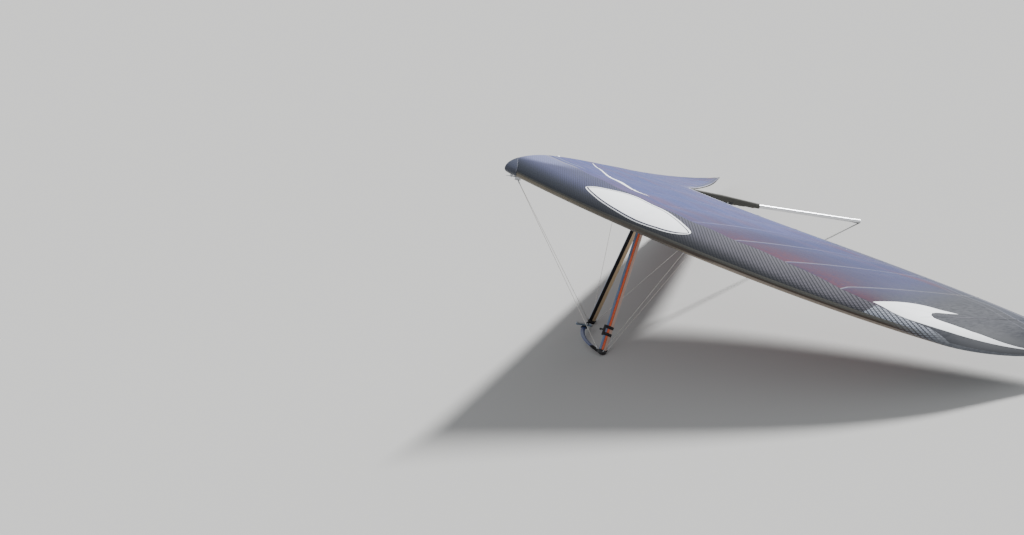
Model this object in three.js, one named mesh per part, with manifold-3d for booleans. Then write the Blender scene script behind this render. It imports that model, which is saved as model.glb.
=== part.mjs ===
// A topless, double-surface hang glider, rigged and parked on its control bar and the end of its keel.
// Millimetres. Every piece is built in the glider's own frame: x runs forward along the keel from the nose,
// y to the pilot's left and z up, with the nose end of the keel at the origin. The whole group is then pitched
// nose-up until the two control-frame corners and the keel's end stand on the floor, z = 0.
import * as THREE from 'three';
import { mergeVertices } from 'three/addons/utils/BufferGeometryUtils.js';
import Module from 'manifold-3d';

const wasm = await Module();
wasm.setup();

// Driving dimensions

const gap = 0.3;                  // clearance between pieces that touch
const semiSpan = 5400;
const panelSpan = 5130;           // the stretch of half span over which the edges' shares are counted
const noseAngle = 128;            // between the two leading edges, degrees
const anhedral = 5.56;            // droop of the leading edges where they leave the nose, degrees
const flexRise = 229;             // how far the spars flex up again at the tips
const rootChord = 1810;
const keelLength = 3525;
const tailTubeStart = 2520;       // where the bare rear tube leaves the keel pocket
const keelRadius = 21;
const tailRadius = 19;
const tubeWall = 1.7;
const apexX = -1446;              // control-frame apex on the keel
const corner = { x: -1149, y: 713, z: -1519 };
const barBow = 114;               // how far the middle of the base bar lies ahead of its ends
const barChord = 45;              // the base bar is an oval, flat across the airflow
const barThick = 21;
const footReach = 29;             // from a corner's centre to the floor when parked
const rearCatchX = -2230;
const hangX = -1590;
const pocketStart = 1710;         // the pocket's front, behind the hang point
const hangLength = 430;
const webWidth = 44;
const webThick = 4;

const sweep = 90 - noseAngle / 2;
const rad = THREE.MathUtils.degToRad;
const vec = (x, y, z) => new THREE.Vector3(x, y, z);

// Materials

const finishes = {
  smokeLaminate: [0x5f6576, 0.35, 0.0],
  warmGreyCloth: [0x9a9184, 0.75, 0.0],
  blackCloth: [0x2b2c2b, 0.8, 0.0],
  anodised: [0xb9bbbd, 0.35, 0.9],
  orangeTube: [0xd8552f, 0.4, 0.1],
  carbon: [0x1c2026, 0.3, 0.2],
  blackPlastic: [0x16171a, 0.55, 0.0],
  steelWire: [0xa8abad, 0.35, 0.9],
  webbing: [0x33373d, 0.85, 0.0],
};
const material = (name) => {
  const [color, roughness, metalness] = finishes[name];
  return new THREE.MeshStandardMaterial({ name, color, roughness, metalness });
};

// Small helpers for closed solids

function solidOf(geometry, matrix = new THREE.Matrix4()) {
  const plain = new THREE.BufferGeometry();
  plain.setAttribute('position', geometry.getAttribute('position').clone());
  if (geometry.index) plain.setIndex(geometry.index.clone());
  plain.applyMatrix4(matrix);
  const merged = mergeVertices(plain, 1e-3);
  return new wasm.Manifold(new wasm.Mesh({
    numProp: 3,
    vertProperties: merged.attributes.position.array,
    triVerts: new Uint32Array(merged.index.array),
  }));
}

function geometryOf(solid) {
  const mesh = solid.getMesh();
  const geometry = new THREE.BufferGeometry();
  geometry.setAttribute('position', new THREE.BufferAttribute(mesh.vertProperties, 3));
  geometry.setIndex(new THREE.BufferAttribute(mesh.triVerts, 1));
  geometry.computeVertexNormals();
  return geometry;
}

// A matrix whose local z runs from one point towards another and whose local x leans towards `lean`.
function frameAlong(from, to, lean = vec(1, 0, 0)) {
  const z = to.clone().sub(from).normalize();
  const side = Math.abs(z.dot(lean)) > 0.99 ? vec(0, 0, 1) : lean;
  const y = z.clone().cross(side).normalize();
  const x = y.clone().cross(z);
  return new THREE.Matrix4().makeBasis(x, y, z).setPosition(from);
}

function box(x, y, z, centre) {
  return solidOf(new THREE.BoxGeometry(x, y, z), new THREE.Matrix4().setPosition(centre));
}

// A round bar between two points.
function bar(from, to, radius, sides = 24) {
  const length = from.distanceTo(to);
  const geometry = new THREE.CylinderGeometry(radius, radius, length, sides);
  geometry.rotateX(Math.PI / 2).translate(0, 0, length / 2);
  return solidOf(geometry, frameAlong(from, to));
}

// A skin of quads over a list of closed rings with the same number of points, capped at both ends.
function loft(rings) {
  const count = rings[0].length;
  const positions = rings.flat().flatMap((p) => [p.x, p.y, p.z]);
  const faces = [];
  for (let i = 0; i + 1 < rings.length; i++) {
    for (let j = 0; j < count; j++) {
      const a = i * count + j;
      const b = i * count + (j + 1) % count;
      faces.push(a, b, b + count, a, b + count, a + count);
    }
  }
  // The rings are slim, so each cap joins the two halves of its ring by a ladder of triangles.
  const cap = (start, flip) => {
    for (let k = 0, j = count - 1; k < j - 1; k++, j--) {
      const tris = [[k, j, k + 1], [k + 1, j, j - 1]];
      for (const [a, b, c] of tris) {
        if (a === b || b === c || a === c) continue;
        faces.push(...(flip ? [start + a, start + c, start + b] : [start + a, start + b, start + c]));
      }
    }
  };
  cap(0, false);
  cap((rings.length - 1) * count, true);
  const geometry = new THREE.BufferGeometry();
  geometry.setAttribute('position', new THREE.Float32BufferAttribute(positions, 3));
  geometry.setIndex(faces);
  const solid = solidOf(geometry);
  return solid.volume() < 0 ? solidOf(reversed(geometry)) : solid;
}

function reversed(geometry) {
  const index = geometry.index.array;
  for (let i = 0; i < index.length; i += 3) [index[i + 1], index[i + 2]] = [index[i + 2], index[i + 1]];
  return geometry;
}

const glider = new THREE.Group();

function add(name, shape, finish) {
  const geometry = shape.isBufferGeometry ? shape : geometryOf(shape);
  const mesh = new THREE.Mesh(geometry, material(finish));
  mesh.name = name;
  glider.add(mesh);
  return mesh;
}

const sides = [['left', 1], ['right', -1]];

// The wing: a loft of aerofoil sections from the centre to each tip

// The leading-edge spar: straight inboard, bending aft and flexing up over its outer half.
const bendAft = 80;
const wandAft = 150;
function spar(y) {
  const u = Math.abs(y) / panelSpan;
  const outer = Math.max(0, u - 0.5) / 0.5;
  const x = -Math.tan(rad(sweep)) * Math.abs(y) - bendAft * outer ** 2 - wandAft * outer ** 6;
  return vec(x, y, -Math.tan(rad(anhedral)) * Math.abs(y) + flexRise * u * u);
}

// The trailing edge bows aft a little and stands above the spar: a high notch at the keel, then washout.
const tipChord = 310;
const edgeBow = 66;
const rise = { root: 41, notch: 33, tip: 203, bulge: 54, tipDroop: 20 };
const tipBack = spar(panelSpan).x - tipChord;
function trailingEdge(y) {
  const u = Math.abs(y) / panelSpan;
  const arch = 4 * u * (1 - u);
  const height = rise.root + rise.notch * (1 - u) ** 6 + rise.tip * u + rise.bulge * arch
    - rise.tipDroop * u ** 8;
  return vec(-rootChord * (1 - u) + tipBack * u - edgeBow * arch, y, spar(y).z + height);
}

// The leading edge rounds back over the last stretch to meet the trailing edge in a pointed tip.
const tipRound = 450;
const tipBlunt = 0.1;             // share of the tip chord that is left at the very end
function leadingEdge(y) {
  const round = Math.max(0, Math.abs(y) - semiSpan + tipRound) / tipRound;
  const back = (1 - Math.sqrt(Math.max(0, 1 - round * round))) * (1 - tipBlunt);
  return spar(y).lerp(trailingEdge(y), back);
}

// The section above and below the chord line, as shares of the chord: round fronts, slender rear.
const upper = { height: 0.094, peak: 0.238, power: 1.7 };
const lower = { height: -0.031, peak: 0.08, power: 1.3 };
function sectionHeight({ height, peak, power }, s) {
  const front = Math.max(0, peak - s) / peak;
  const rear = Math.max(0, s - peak) / (1 - peak);
  return height * (s < peak ? Math.sqrt(1 - front * front) : 1 - rear ** power);
}

// At the centre the undersurface is held down under the keel, and closes up to the trailing edge behind it.
const fairingHalf = 330;
const fairingDepth = keelRadius + 9;
const fairingEnd = 0.7;
function fairing(y, s) {
  const side = Math.min(1, Math.abs(y) / fairingHalf);
  const closing = Math.max(0, s - fairingEnd) / (1 - fairingEnd);
  const weight = (1 + Math.cos(Math.PI * side)) / 2 * Math.min(1, s / lower.peak);
  return { weight, z: -fairingDepth * (1 - closing) + (rise.root + rise.notch) * closing };
}

const edgeThickness = 3;

// A point on the wing's skin: side 1 for the top, -1 for the bottom.
function skin(y, s, side) {
  const point = leadingEdge(y).lerp(trailingEdge(y), s);
  const chord = leadingEdge(y).x - trailingEdge(y).x;
  const thickness = sectionHeight(side > 0 ? upper : lower, s) * chord;
  point.z += s > 0.5 ? side * Math.max(side * thickness, edgeThickness / 2) : thickness;
  if (side < 0 && s > 0) {
    const low = fairing(y, s);
    point.z += low.weight * Math.min(0, low.z - edgeThickness / 2 - point.z);
  }
  return point;
}

const chordSteps = 20;
const chordShares = Array.from({ length: chordSteps + 1 },
  (_, i) => (1 - Math.cos(Math.PI * i / chordSteps)) / 2);

// One closed ring of the wing at span y: over the top from the trailing edge, back along the bottom.
function wingRing(y) {
  const top = chordShares.map((s) => skin(y, s, 1)).reverse();
  return [...top, ...chordShares.slice(1).map((s) => skin(y, s, -1))];
}

// Rings from the centre outwards, then closer together round the tip.
const spanSteps = 15;
const tipSteps = 7;
const inner = Array.from({ length: spanSteps }, (_, i) => (semiSpan - tipRound) * (i / spanSteps) ** 1.15);
const outer = Array.from({ length: tipSteps + 1 }, (_, i) =>
  semiSpan - tipRound * (1 - Math.sin(Math.PI / 2 * i / tipSteps)));
const stations = [...inner, ...outer].map((y) => Math.max(gap / 2, y));
const wingHalf = (side) => loft(stations.map((y) => wingRing(side * y)));

// Keel, in two tubes that telescope, with its end cap

function hollowTube(outer, inner, from, to, segments = 32) {
  const profile = [[inner, from], [outer, from], [outer, to], [inner, to], [inner, from]];
  const geometry = new THREE.LatheGeometry(profile.map(([r, h]) => new THREE.Vector2(r, h)), segments);
  return geometry.rotateZ(Math.PI / 2);                    // the lathe's height turns to -x
}

const sleeveOverlap = 160;
add('keel_tube', hollowTube(keelRadius, tailRadius + gap, 30, tailTubeStart), 'anodised');
const tailTubeEnd = keelLength - 32;
add('keel_tail_tube', hollowTube(tailRadius, tailRadius - tubeWall, tailTubeStart - sleeveOverlap, tailTubeEnd),
  'anodised');

const tailFoot = vec(-keelLength + 22, 0, 0);
const footFlat = 2;               // depth of the flat worn on the tail cap
const capRadius = tailRadius + 2.5;

// Pitch of the parked glider: the floor touches both corners and the tail cap.
const reach = corner.x - tailFoot.x;
const stanceSlope = Math.atan2(-corner.z, reach);
const pitch = stanceSlope + Math.asin((footReach - capRadius + footFlat) / Math.hypot(corner.z, reach));
const down = vec(-Math.sin(pitch), 0, -Math.cos(pitch));
const floorPoint = vec(corner.x, 0, corner.z).addScaledVector(down, footReach);

// Everything under the floor, as a big block to cut the feet flat with.
const belowFloor = (() => {
  const size = 9000;
  const matrix = new THREE.Matrix4().makeRotationY(pitch);
  matrix.setPosition(floorPoint.clone().addScaledVector(down, size / 2));
  return solidOf(new THREE.BoxGeometry(size, size, size), matrix);
})();

{
  const end = vec(-keelLength, 0, 0);
  const cap = bar(vec(-keelLength + 70, 0, 0), end, capRadius, 32)
    .subtract(bar(vec(-keelLength + 71, 0, 0), vec(-tailTubeEnd - gap, 0, 0), tailRadius + gap, 32));
  add('keel_tail_cap', cap.subtract(belowFloor), 'anodised');
}

// Sail halves, nose cone and keel pocket

const noseConeBack = 115;
const wholeWing = { left: wingHalf(1), right: wingHalf(-1) };
const joinedWing = wholeWing.left.add(wholeWing.right).add(loft([-0.2, 0.01, 0.2].map(wingRing)));
const belowWing = joinedWing.add(joinedWing.translate([0, 0, -gap])).add(joinedWing.translate([-gap, 0, -gap]));
const keelChannel = bar(vec(60, 0, 0), vec(-keelLength, 0, 0), keelRadius + gap, 32);

// Openings in the undersurface, all cut upwards from well below it: round the apex, and for the hang strap
const slot = { top: 27, deep: 150, apexLong: 112, apexWide: 108, strapWide: 74, strapFront: apexX - 40 };
const slotBox = (front, back, wide) =>
  box(front - back, wide, slot.deep, vec((front + back) / 2, 0, slot.top - slot.deep / 2));
const apexSlot = slotBox(apexX + slot.apexLong / 2, apexX - slot.apexLong / 2, slot.apexWide);
const hangSlot = slotBox(slot.strapFront, -pocketStart, slot.strapWide);

// The nose cone takes everything ahead of this seam
const zone = { long: 400, wide: 500, high: 600 };
const noseZone = (inset) => box(zone.long - 2 * inset, zone.wide, zone.high,
  vec(-noseConeBack + zone.long / 2 + inset, 0, 0));

for (const [side] of sides) {
  const cut = wholeWing[side].subtract(noseZone(0)).subtract(keelChannel).subtract(apexSlot).subtract(hangSlot);
  add(`sail_${side}`, cut, 'smokeLaminate');
}
add('nose_cone', joinedWing.intersect(noseZone(gap)).subtract(keelChannel), 'smokeLaminate');

// The keel pocket: a sleeve of cloth hung from the sail's centre, wrapped under the keel, tapering to its end
const pocketCloth = 4;
const catchSaddle = { long: 44, thick: 5, room: 3 };
{
  const sections = [
    // x, half width at the top, top height
    [-pocketStart, 12, 72],
    [-rootChord - 2, 12, rise.root + rise.notch],
    [-2150, 12, 56],
    [-tailTubeStart, 15, keelRadius + pocketCloth],
  ];
  const wrapSteps = 8;
  const wrapRadius = keelRadius + pocketCloth;
  const rings = sections.map(([x, half, top]) => {
    const wrap = Array.from({ length: wrapSteps + 1 }, (_, i) => {
      const angle = Math.PI * i / wrapSteps;
      return vec(x, -wrapRadius * Math.cos(angle), -wrapRadius * Math.sin(angle));
    });
    return [vec(x, -half, top), ...wrap, vec(x, half, top)];
  });
  const room = { deep: 60, wide: 80 };
  const catchRoom = box(catchSaddle.long + 2 * catchSaddle.room, room.wide, room.deep,
    vec(rearCatchX, 0, -room.deep / 2));
  add('keel_pocket', loft(rings).subtract(belowWing).subtract(keelChannel).subtract(catchRoom), 'blackCloth');
}

// Control frame: apex bracket, two streamlined downtubes with end fittings, a bowed bar between two corners

const tubeChord = 70;
const tubeThick = 28;

// Outline of a streamlined tube: local x is the chord, blunt end forward.
function teardrop(chord, thick) {
  const shape = new THREE.Shape();
  const r = thick / 2;
  const nose = chord * 0.36;
  shape.moveTo(nose - r * 0.2, -r);
  shape.bezierCurveTo(nose + r * 1.1, -r, chord * 0.5, -r * 0.55, chord * 0.5, 0);
  shape.bezierCurveTo(chord * 0.5, r * 0.55, nose + r * 1.1, r, nose - r * 0.2, r);
  shape.bezierCurveTo(0, r, -chord * 0.3, r * 0.55, -chord * 0.5, 2);
  shape.lineTo(-chord * 0.5, -2);
  shape.bezierCurveTo(-chord * 0.3, -r * 0.55, 0, -r, nose - r * 0.2, -r);
  return shape;
}

function streamTube(from, to, chord, thick) {
  const geometry = new THREE.ExtrudeGeometry(teardrop(chord, thick), {
    depth: from.distanceTo(to), bevelEnabled: false, curveSegments: 6,
  });
  return solidOf(geometry, frameAlong(from, to));
}

const apexPin = { x: apexX, y: 44, z: -86 };
const topPoint = (s) => vec(apexPin.x, s * apexPin.y, apexPin.z);
const cornerPoint = (s) => vec(corner.x, s * corner.y, corner.z);
const topFitting = 70;
const cornerFitting = 24;
const boltRadius = 5;

const apex = { long: 96, wide: 50, top: 22, foot: -96, lugLong: 40, lugWide: 26, lugFoot: -114, boltHalf: 62 };
{
  const block = (long, wide, top, low) => box(long, wide, top - low, vec(apexX, 0, (top + low) / 2));
  const cheeks = block(apex.long, apex.wide, apex.top, apex.foot).subtract(keelChannel);
  const lugBlock = block(apex.lugLong, apex.lugWide, apexPin.z, apex.lugFoot);
  const bolt = bar(vec(apexPin.x, -apex.boltHalf, apexPin.z), vec(apexPin.x, apex.boltHalf, apexPin.z),
    boltRadius, 16);
  add('apex_bracket', cheeks.add(lugBlock).add(bolt), 'anodised');
}
const knuckleStart = -18;         // the end fitting begins a little above its bolt

for (const [side, s] of sides) {
  const top = topPoint(s);
  const foot = cornerPoint(s);
  const along = foot.clone().sub(top).normalize();
  const at = (d) => top.clone().addScaledVector(along, d);
  const length = top.distanceTo(foot);

  const tubeStart = at(topFitting);
  const tubeEnd = at(length - cornerFitting);
  add(`downtube_${side}`, streamTube(tubeStart, tubeEnd, tubeChord, tubeThick), 'orangeTube');

  const pinHole = bar(vec(top.x, 0, top.z), vec(top.x, s * 2 * apexPin.y, top.z), boltRadius + gap, 16);
  const bracketRoom = box(2 * apex.long, apex.wide + 2 + 2 * gap, 2 * apex.long, vec(apexX, 0, apexPin.z));
  const knuckle = streamTube(at(knuckleStart), at(topFitting - gap), tubeChord - 14, tubeThick - 4);
  add(`downtube_top_${side}`, knuckle.subtract(pinHole).subtract(bracketRoom), 'blackPlastic');
}

// The bar's centreline arches forward between two sockets that stand ahead of the downtubes' feet.
const socketY = corner.y - 24;
const barSet = { forward: 20, up: -4 };
const barCurve = new THREE.CatmullRomCurve3(Array.from({ length: 11 }, (_, i) => {
  const v = 1 - i / 5;
  return vec(corner.x + barSet.forward + barBow * (1 - v * v), v * socketY, corner.z + barSet.up);
}));

// An oval bar along a level curve, grown on every side by `grow`
function ovalBar(path, steps, grow = 0) {
  const section = new THREE.Shape();
  section.absellipse(0, 0, barThick / 2 + grow, barChord / 2 + grow, 0, Math.PI * 2, false, 0);
  return solidOf(new THREE.ExtrudeGeometry(section, {
    steps, curveSegments: 7, bevelEnabled: false, extrudePath: path,
  }));
}
const barSteps = 36;
add('base_bar', ovalBar(barCurve, barSteps), 'carbon');

// Main stays: each wire is a lathe with a swaged sleeve at both ends, between two lugs

const lugReach = 62;
const lugRadius = 4.5;
const wireRadius = 1.5;
const noseCatch = vec(-140, 0, -92);
const rearCatch = vec(rearCatchX, 0, -44);
const tangY = 2710;
const tangPoint = (s) => skin(s * tangY, lower.peak, -1);

function lug(from, towards) {
  const direction = towards.clone().sub(from).normalize();
  return bar(from, from.clone().addScaledVector(direction, lugReach), lugRadius, 12);
}

function stay(from, to) {
  const length = from.distanceTo(to) - 2 * (lugReach + gap);
  const direction = to.clone().sub(from).normalize();
  const start = from.clone().addScaledVector(direction, lugReach + gap);
  const sleeve = 30;
  const outline = [[0, 0], [3.4, 0], [3.4, sleeve], [wireRadius, sleeve + 6], [wireRadius, length - sleeve - 6],
    [3.4, length - sleeve], [3.4, length], [0, length]];
  const geometry = new THREE.LatheGeometry(outline.map(([r, h]) => new THREE.Vector2(r, h)), 10);
  geometry.rotateX(Math.PI / 2);
  return solidOf(geometry, frameAlong(start, to));
}

const stayEnds = (s) => ({
  nose: [cornerPoint(s).add(vec(20, 0, -10)), noseCatch.clone().add(vec(0, s * 16, 0))],
  side: [cornerPoint(s).add(vec(0, s * 6, -6)), tangPoint(s)],
  rear: [cornerPoint(s).add(vec(-26, 0, -12)), rearCatch.clone().add(vec(0, s * 16, 0))],
});

for (const [side, s] of sides) {
  for (const [name, [from, to]] of Object.entries(stayEnds(s))) {
    add(`${name}_wire_${side}`, stay(from, to), 'steelWire');
  }
}

// Corner fittings: a rounded foot that plugs the downtube, with the bar's socket and three wire lugs

const foot = { chord: 42, side: 20, deep: 24, socketLong: 26, wall: 2 };
for (const [side, s] of sides) {
  const centre = cornerPoint(s);
  const along = topPoint(s).sub(centre).normalize();
  const upright = frameAlong(centre, topPoint(s));
  const shell = new THREE.SphereGeometry(1, 24, 14).scale(foot.chord, foot.side, foot.deep);
  const plugEnd = centre.clone().addScaledVector(along, cornerFitting - gap);
  const barEnd = barCurve.getPoint(s > 0 ? 0 : 1);
  const outward = barCurve.getTangent(s > 0 ? 0 : 1).multiplyScalar(-s);
  const socket = ovalBar(new THREE.LineCurve3(barEnd.clone().addScaledVector(outward, gap),
    barEnd.clone().addScaledVector(outward, foot.socketLong)), 1, foot.wall);
  let body = solidOf(shell, upright)
    .add(streamTube(centre, plugEnd, tubeChord + 2 * foot.wall, tubeThick + 2 * foot.wall))
    .add(socket);
  for (const [from, to] of Object.values(stayEnds(s))) body = body.add(lug(from, to));
  add(`corner_${side}`, body.subtract(belowFloor), 'blackPlastic');
}

// Instrument pod: a flat rounded slab over the base bar, on a bracket clamped round it

const pod = { long: 165, wide: 84, thick: 18, round: 16, y: -380, back: corner.x + 25, lift: 14 };
const podBracket = { long: 58, wide: 34, wall: 6 };
{
  const podFloor = corner.z + barSet.up + barThick / 2 + pod.lift;
  const outline = new THREE.Shape();
  const r = pod.round;
  const [x0, x1, half] = [pod.back + r, pod.back + pod.long - r, pod.wide / 2 - r];
  outline.absarc(x1, half, r, 0, Math.PI / 2, false);
  outline.absarc(x0, half, r, Math.PI / 2, Math.PI, false);
  outline.absarc(x0, -half, r, Math.PI, Math.PI * 1.5, false);
  outline.absarc(x1, -half, r, Math.PI * 1.5, Math.PI * 2, false);
  const slab = new THREE.ExtrudeGeometry(outline, { depth: pod.thick, bevelEnabled: false, curveSegments: 5 });
  add('instrument_pod', solidOf(slab, new THREE.Matrix4().setPosition(0, pod.y, podFloor)), 'blackPlastic');
  const v = pod.y / socketY;
  const barX = corner.x + barSet.forward + barBow * (1 - v * v);
  const low = corner.z + barSet.up - barThick / 2 - podBracket.wall;
  const high = podFloor - gap;
  const block = box(podBracket.long, podBracket.wide, high - low, vec(barX, pod.y, (high + low) / 2));
  add('instrument_bracket', block.subtract(ovalBar(barCurve, barSteps, gap)), 'blackPlastic');
}

// Strap-on mount on the left downtube: two bands, a pad ahead of them and a short arm

const mount = {
  low: 163, high: 233, band: 30, wall: 5, padLong: 24, padWide: 26, padAhead: 9,
  armUp: 14, armAhead: 12, armLong: 42, armRadius: 10,
};
{
  const centre = cornerPoint(1);
  const along = topPoint(1).sub(centre).normalize();
  const at = (d) => centre.clone().addScaledVector(along, d);
  const band = (d) => streamTube(at(d), at(d + mount.band), tubeChord + 2 * mount.wall,
    tubeThick + 2 * mount.wall);
  const padHigh = mount.high - mount.low + mount.band;
  const pad = new THREE.BoxGeometry(mount.padLong, mount.padWide, padHigh);
  pad.translate(tubeChord / 2 + mount.padAhead, 0, padHigh / 2);
  const armRoot = at(mount.low + padHigh / 2 + mount.armUp).add(vec(tubeChord / 2 + mount.armAhead, 0, 0));
  const arm = bar(armRoot, armRoot.clone().add(vec(mount.armLong, 0, 0)), mount.armRadius, 16);
  const room = streamTube(at(mount.low - mount.band), at(mount.high + 2 * mount.band), tubeChord + 4 * gap,
    tubeThick + 3 * gap);
  const padFrame = frameAlong(at(mount.low), at(mount.high));
  const body = band(mount.low).add(band(mount.high)).add(solidOf(pad, padFrame)).add(arm);
  add('downtube_mount', body.subtract(room), 'blackPlastic');
}

// Nose plate under the keel with the catch for the front wires

const plate = {
  // x and half width of its outline, from the point back; its depth, and the height of its underside
  outline: [[-20, 0], [-150, 60], [-210, 26]],
  depth: 40,
  low: -70,
  catchLong: 60,
  catchWide: 34,
  catchLow: -99,
};
{
  const outline = new THREE.Shape();
  const [point, ...rest] = plate.outline;
  outline.moveTo(...point);
  for (const [x, half] of rest) outline.lineTo(x, half);
  for (const [x, half] of [...rest].reverse()) outline.lineTo(x, -half);
  outline.closePath();
  const sheet = new THREE.ExtrudeGeometry(outline, { depth: plate.depth, bevelEnabled: false });
  const catchHigh = (plate.low + 5) - plate.catchLow;
  let body = solidOf(sheet, new THREE.Matrix4().setPosition(0, 0, plate.low))
    .add(box(plate.catchLong, plate.catchWide, catchHigh, vec(noseCatch.x, 0, plate.catchLow + catchHigh / 2)));
  for (const [, s] of sides) {
    const [from, to] = stayEnds(s).nose;
    body = body.add(lug(to, from));
  }
  add('nose_plate', body.subtract(belowWing), 'anodised');
}

// Rear catch: a saddle strapped under the keel tube, between the two rear wires

const catchBlock = { long: 40, wide: 36, deep: 20, up: 12 };
{
  const half = catchSaddle.long / 2;
  const saddle = bar(vec(rearCatch.x + half, 0, 0), vec(rearCatch.x - half, 0, 0),
    keelRadius + catchSaddle.thick, 28);
  const upperHalf = box(2 * catchSaddle.long, 4 * keelRadius, 4 * keelRadius,
    vec(rearCatch.x, 0, 2 * keelRadius - gap));
  let body = saddle
    .add(box(catchBlock.long, catchBlock.wide, catchBlock.deep,
      rearCatch.clone().add(vec(0, 0, catchBlock.up))))
    .subtract(upperHalf);
  for (const [, s] of sides) {
    const [from, to] = stayEnds(s).rear;
    body = body.add(lug(to, from));
  }
  add('rear_wire_bracket', body.subtract(keelChannel), 'anodised');
}

// Side tangs: a small disc on the undersurface below each leading edge, with the wire's lug

const tangDisc = { radius: 12, thick: 1 };
const tangSink = 4;
for (const [side, s] of sides) {
  const [from, to] = stayEnds(s).side;
  const inward = to.clone().sub(from).normalize();
  const root = to.clone().addScaledVector(inward, -tangSink);
  const face = to.clone().addScaledVector(inward, -tangSink - tangDisc.thick);
  const tang = lug(to, from).add(bar(root, face, tangDisc.radius, 16));
  add(`side_wire_tang_${side}`, tang.subtract(wholeWing[side]), 'anodised');
}

// Hang loop: a band of webbing sewn round the keel, and the loop that swings from it on both sides

const bandOuter = keelRadius + gap + webThick;
{
  const band = bar(vec(hangX + webWidth / 2, 0, 0), vec(hangX - webWidth / 2, 0, 0), bandOuter, 32);
  add('hang_band', band.subtract(keelChannel), 'webbing');
}
{
  const half = webWidth / 2;
  const legY = bandOuter + gap + webThick / 2;
  const leg = new THREE.Shape();
  leg.moveTo(half, 0);
  leg.absarc(0, 0, half, 0, Math.PI, false);
  leg.lineTo(-half, -hangLength);
  leg.lineTo(half, -hangLength);
  leg.closePath();
  const sheet = new THREE.ExtrudeGeometry(leg, { depth: webThick, bevelEnabled: false, curveSegments: 10 });
  // Shape x runs along the keel, shape y up, and the extrusion to the side.
  const upright = (y) => new THREE.Matrix4().makeBasis(vec(-1, 0, 0), vec(0, 0, 1), vec(0, 1, 0))
    .setPosition(0, y - webThick / 2, 0);
  const bight = new THREE.Shape();
  const r = legY + webThick / 2;
  bight.absarc(0, 0, r, Math.PI, 2 * Math.PI, false);
  bight.lineTo(r - webThick, 0);
  bight.absarc(0, 0, r - webThick, 2 * Math.PI, Math.PI, true);
  bight.closePath();
  const turn = new THREE.ExtrudeGeometry(bight, { depth: webWidth, bevelEnabled: false, curveSegments: 12 });
  const across = new THREE.Matrix4().makeBasis(vec(0, 1, 0), vec(0, 0, 1), vec(1, 0, 0))
    .setPosition(-half, 0, -hangLength);
  const loop = solidOf(sheet, upright(legY)).add(solidOf(sheet, upright(-legY))).add(solidOf(turn, across));
  // It hangs plumb while the keel is pitched up.
  const plumb = new THREE.Matrix4().makeRotationY(pitch).setPosition(hangX, 0, 0);
  add('hang_loop', loop.transform(plumb.elements), 'webbing');
}

// Park the glider: pitch it, stand it on the floor and centre it over the origin

const parked = new THREE.Group();
parked.add(glider);
glider.rotation.y = -pitch;
parked.updateMatrixWorld(true);
const floorHeight = floorPoint.clone().applyMatrix4(glider.matrixWorld).z;
const bounds = new THREE.Box3().setFromObject(parked, true);
glider.position.set(-(bounds.min.x + bounds.max.x) / 2, 0, -floorHeight);
parked.updateMatrixWorld(true);

export default parked;
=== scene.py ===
import math
import bmesh
import bpy
import numpy as np
from mathutils import Matrix, Vector


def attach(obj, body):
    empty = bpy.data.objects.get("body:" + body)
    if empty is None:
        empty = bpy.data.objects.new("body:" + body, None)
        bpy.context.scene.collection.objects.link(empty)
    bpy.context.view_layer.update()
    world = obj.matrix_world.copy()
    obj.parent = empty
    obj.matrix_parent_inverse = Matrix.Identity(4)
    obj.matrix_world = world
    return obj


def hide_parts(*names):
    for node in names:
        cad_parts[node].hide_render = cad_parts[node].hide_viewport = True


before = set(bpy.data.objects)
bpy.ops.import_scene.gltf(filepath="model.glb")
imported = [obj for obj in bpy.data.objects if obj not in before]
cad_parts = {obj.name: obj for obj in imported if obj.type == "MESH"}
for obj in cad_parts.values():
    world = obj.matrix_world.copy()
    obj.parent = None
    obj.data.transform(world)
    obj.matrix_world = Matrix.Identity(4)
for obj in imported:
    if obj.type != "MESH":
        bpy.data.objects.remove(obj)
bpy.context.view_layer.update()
print("frame loaded:", len(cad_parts), "nodes")

# The glider's own frame, as in the solids: x forward from the keel's nose end, y left, z up, in metres.
parked = {"pitch": math.radians(33.02782035), "nose": (1.4728573, 0.0, 1.9287968)}
cosPitch, sinPitch = math.cos(parked["pitch"]), math.sin(parked["pitch"])


def toRow(points, turnOnly=False):
    p = np.asarray(points, float)
    x, y, z = p[..., 0], p[..., 1], p[..., 2]
    turned = np.stack([x * cosPitch - z * sinPitch, y, x * sinPitch + z * cosPitch], -1)
    return turned if turnOnly else turned + np.array(parked["nose"])


# Camera: held to the glider as the photograph's was, so it leans on the level floor
camera = {
    "place": (0.0833, 11.5880, 0.8307),
    "looks": (-0.02548, -0.98796, -0.15261),
    "up": (0.14698, -0.15470, 0.97697),
    "lens": 41.79,
    "sensor": 36.0,
}


def makeCamera():
    data = bpy.data.cameras.new("photo_view")
    data.lens, data.sensor_width = camera["lens"], camera["sensor"]
    data.clip_end = 400
    looks = Vector(toRow(camera["looks"], True)).normalized()
    right = looks.cross(Vector(toRow(camera["up"], True))).normalized()
    up = right.cross(looks)
    basis = Matrix((right, up, -looks)).transposed().to_4x4()
    basis.translation = Vector(toRow(camera["place"]))
    obj = bpy.data.objects.new("photo_view", data)
    obj.matrix_world = basis
    bpy.context.scene.collection.objects.link(obj)
    bpy.context.scene.camera = obj


makeCamera()


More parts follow.
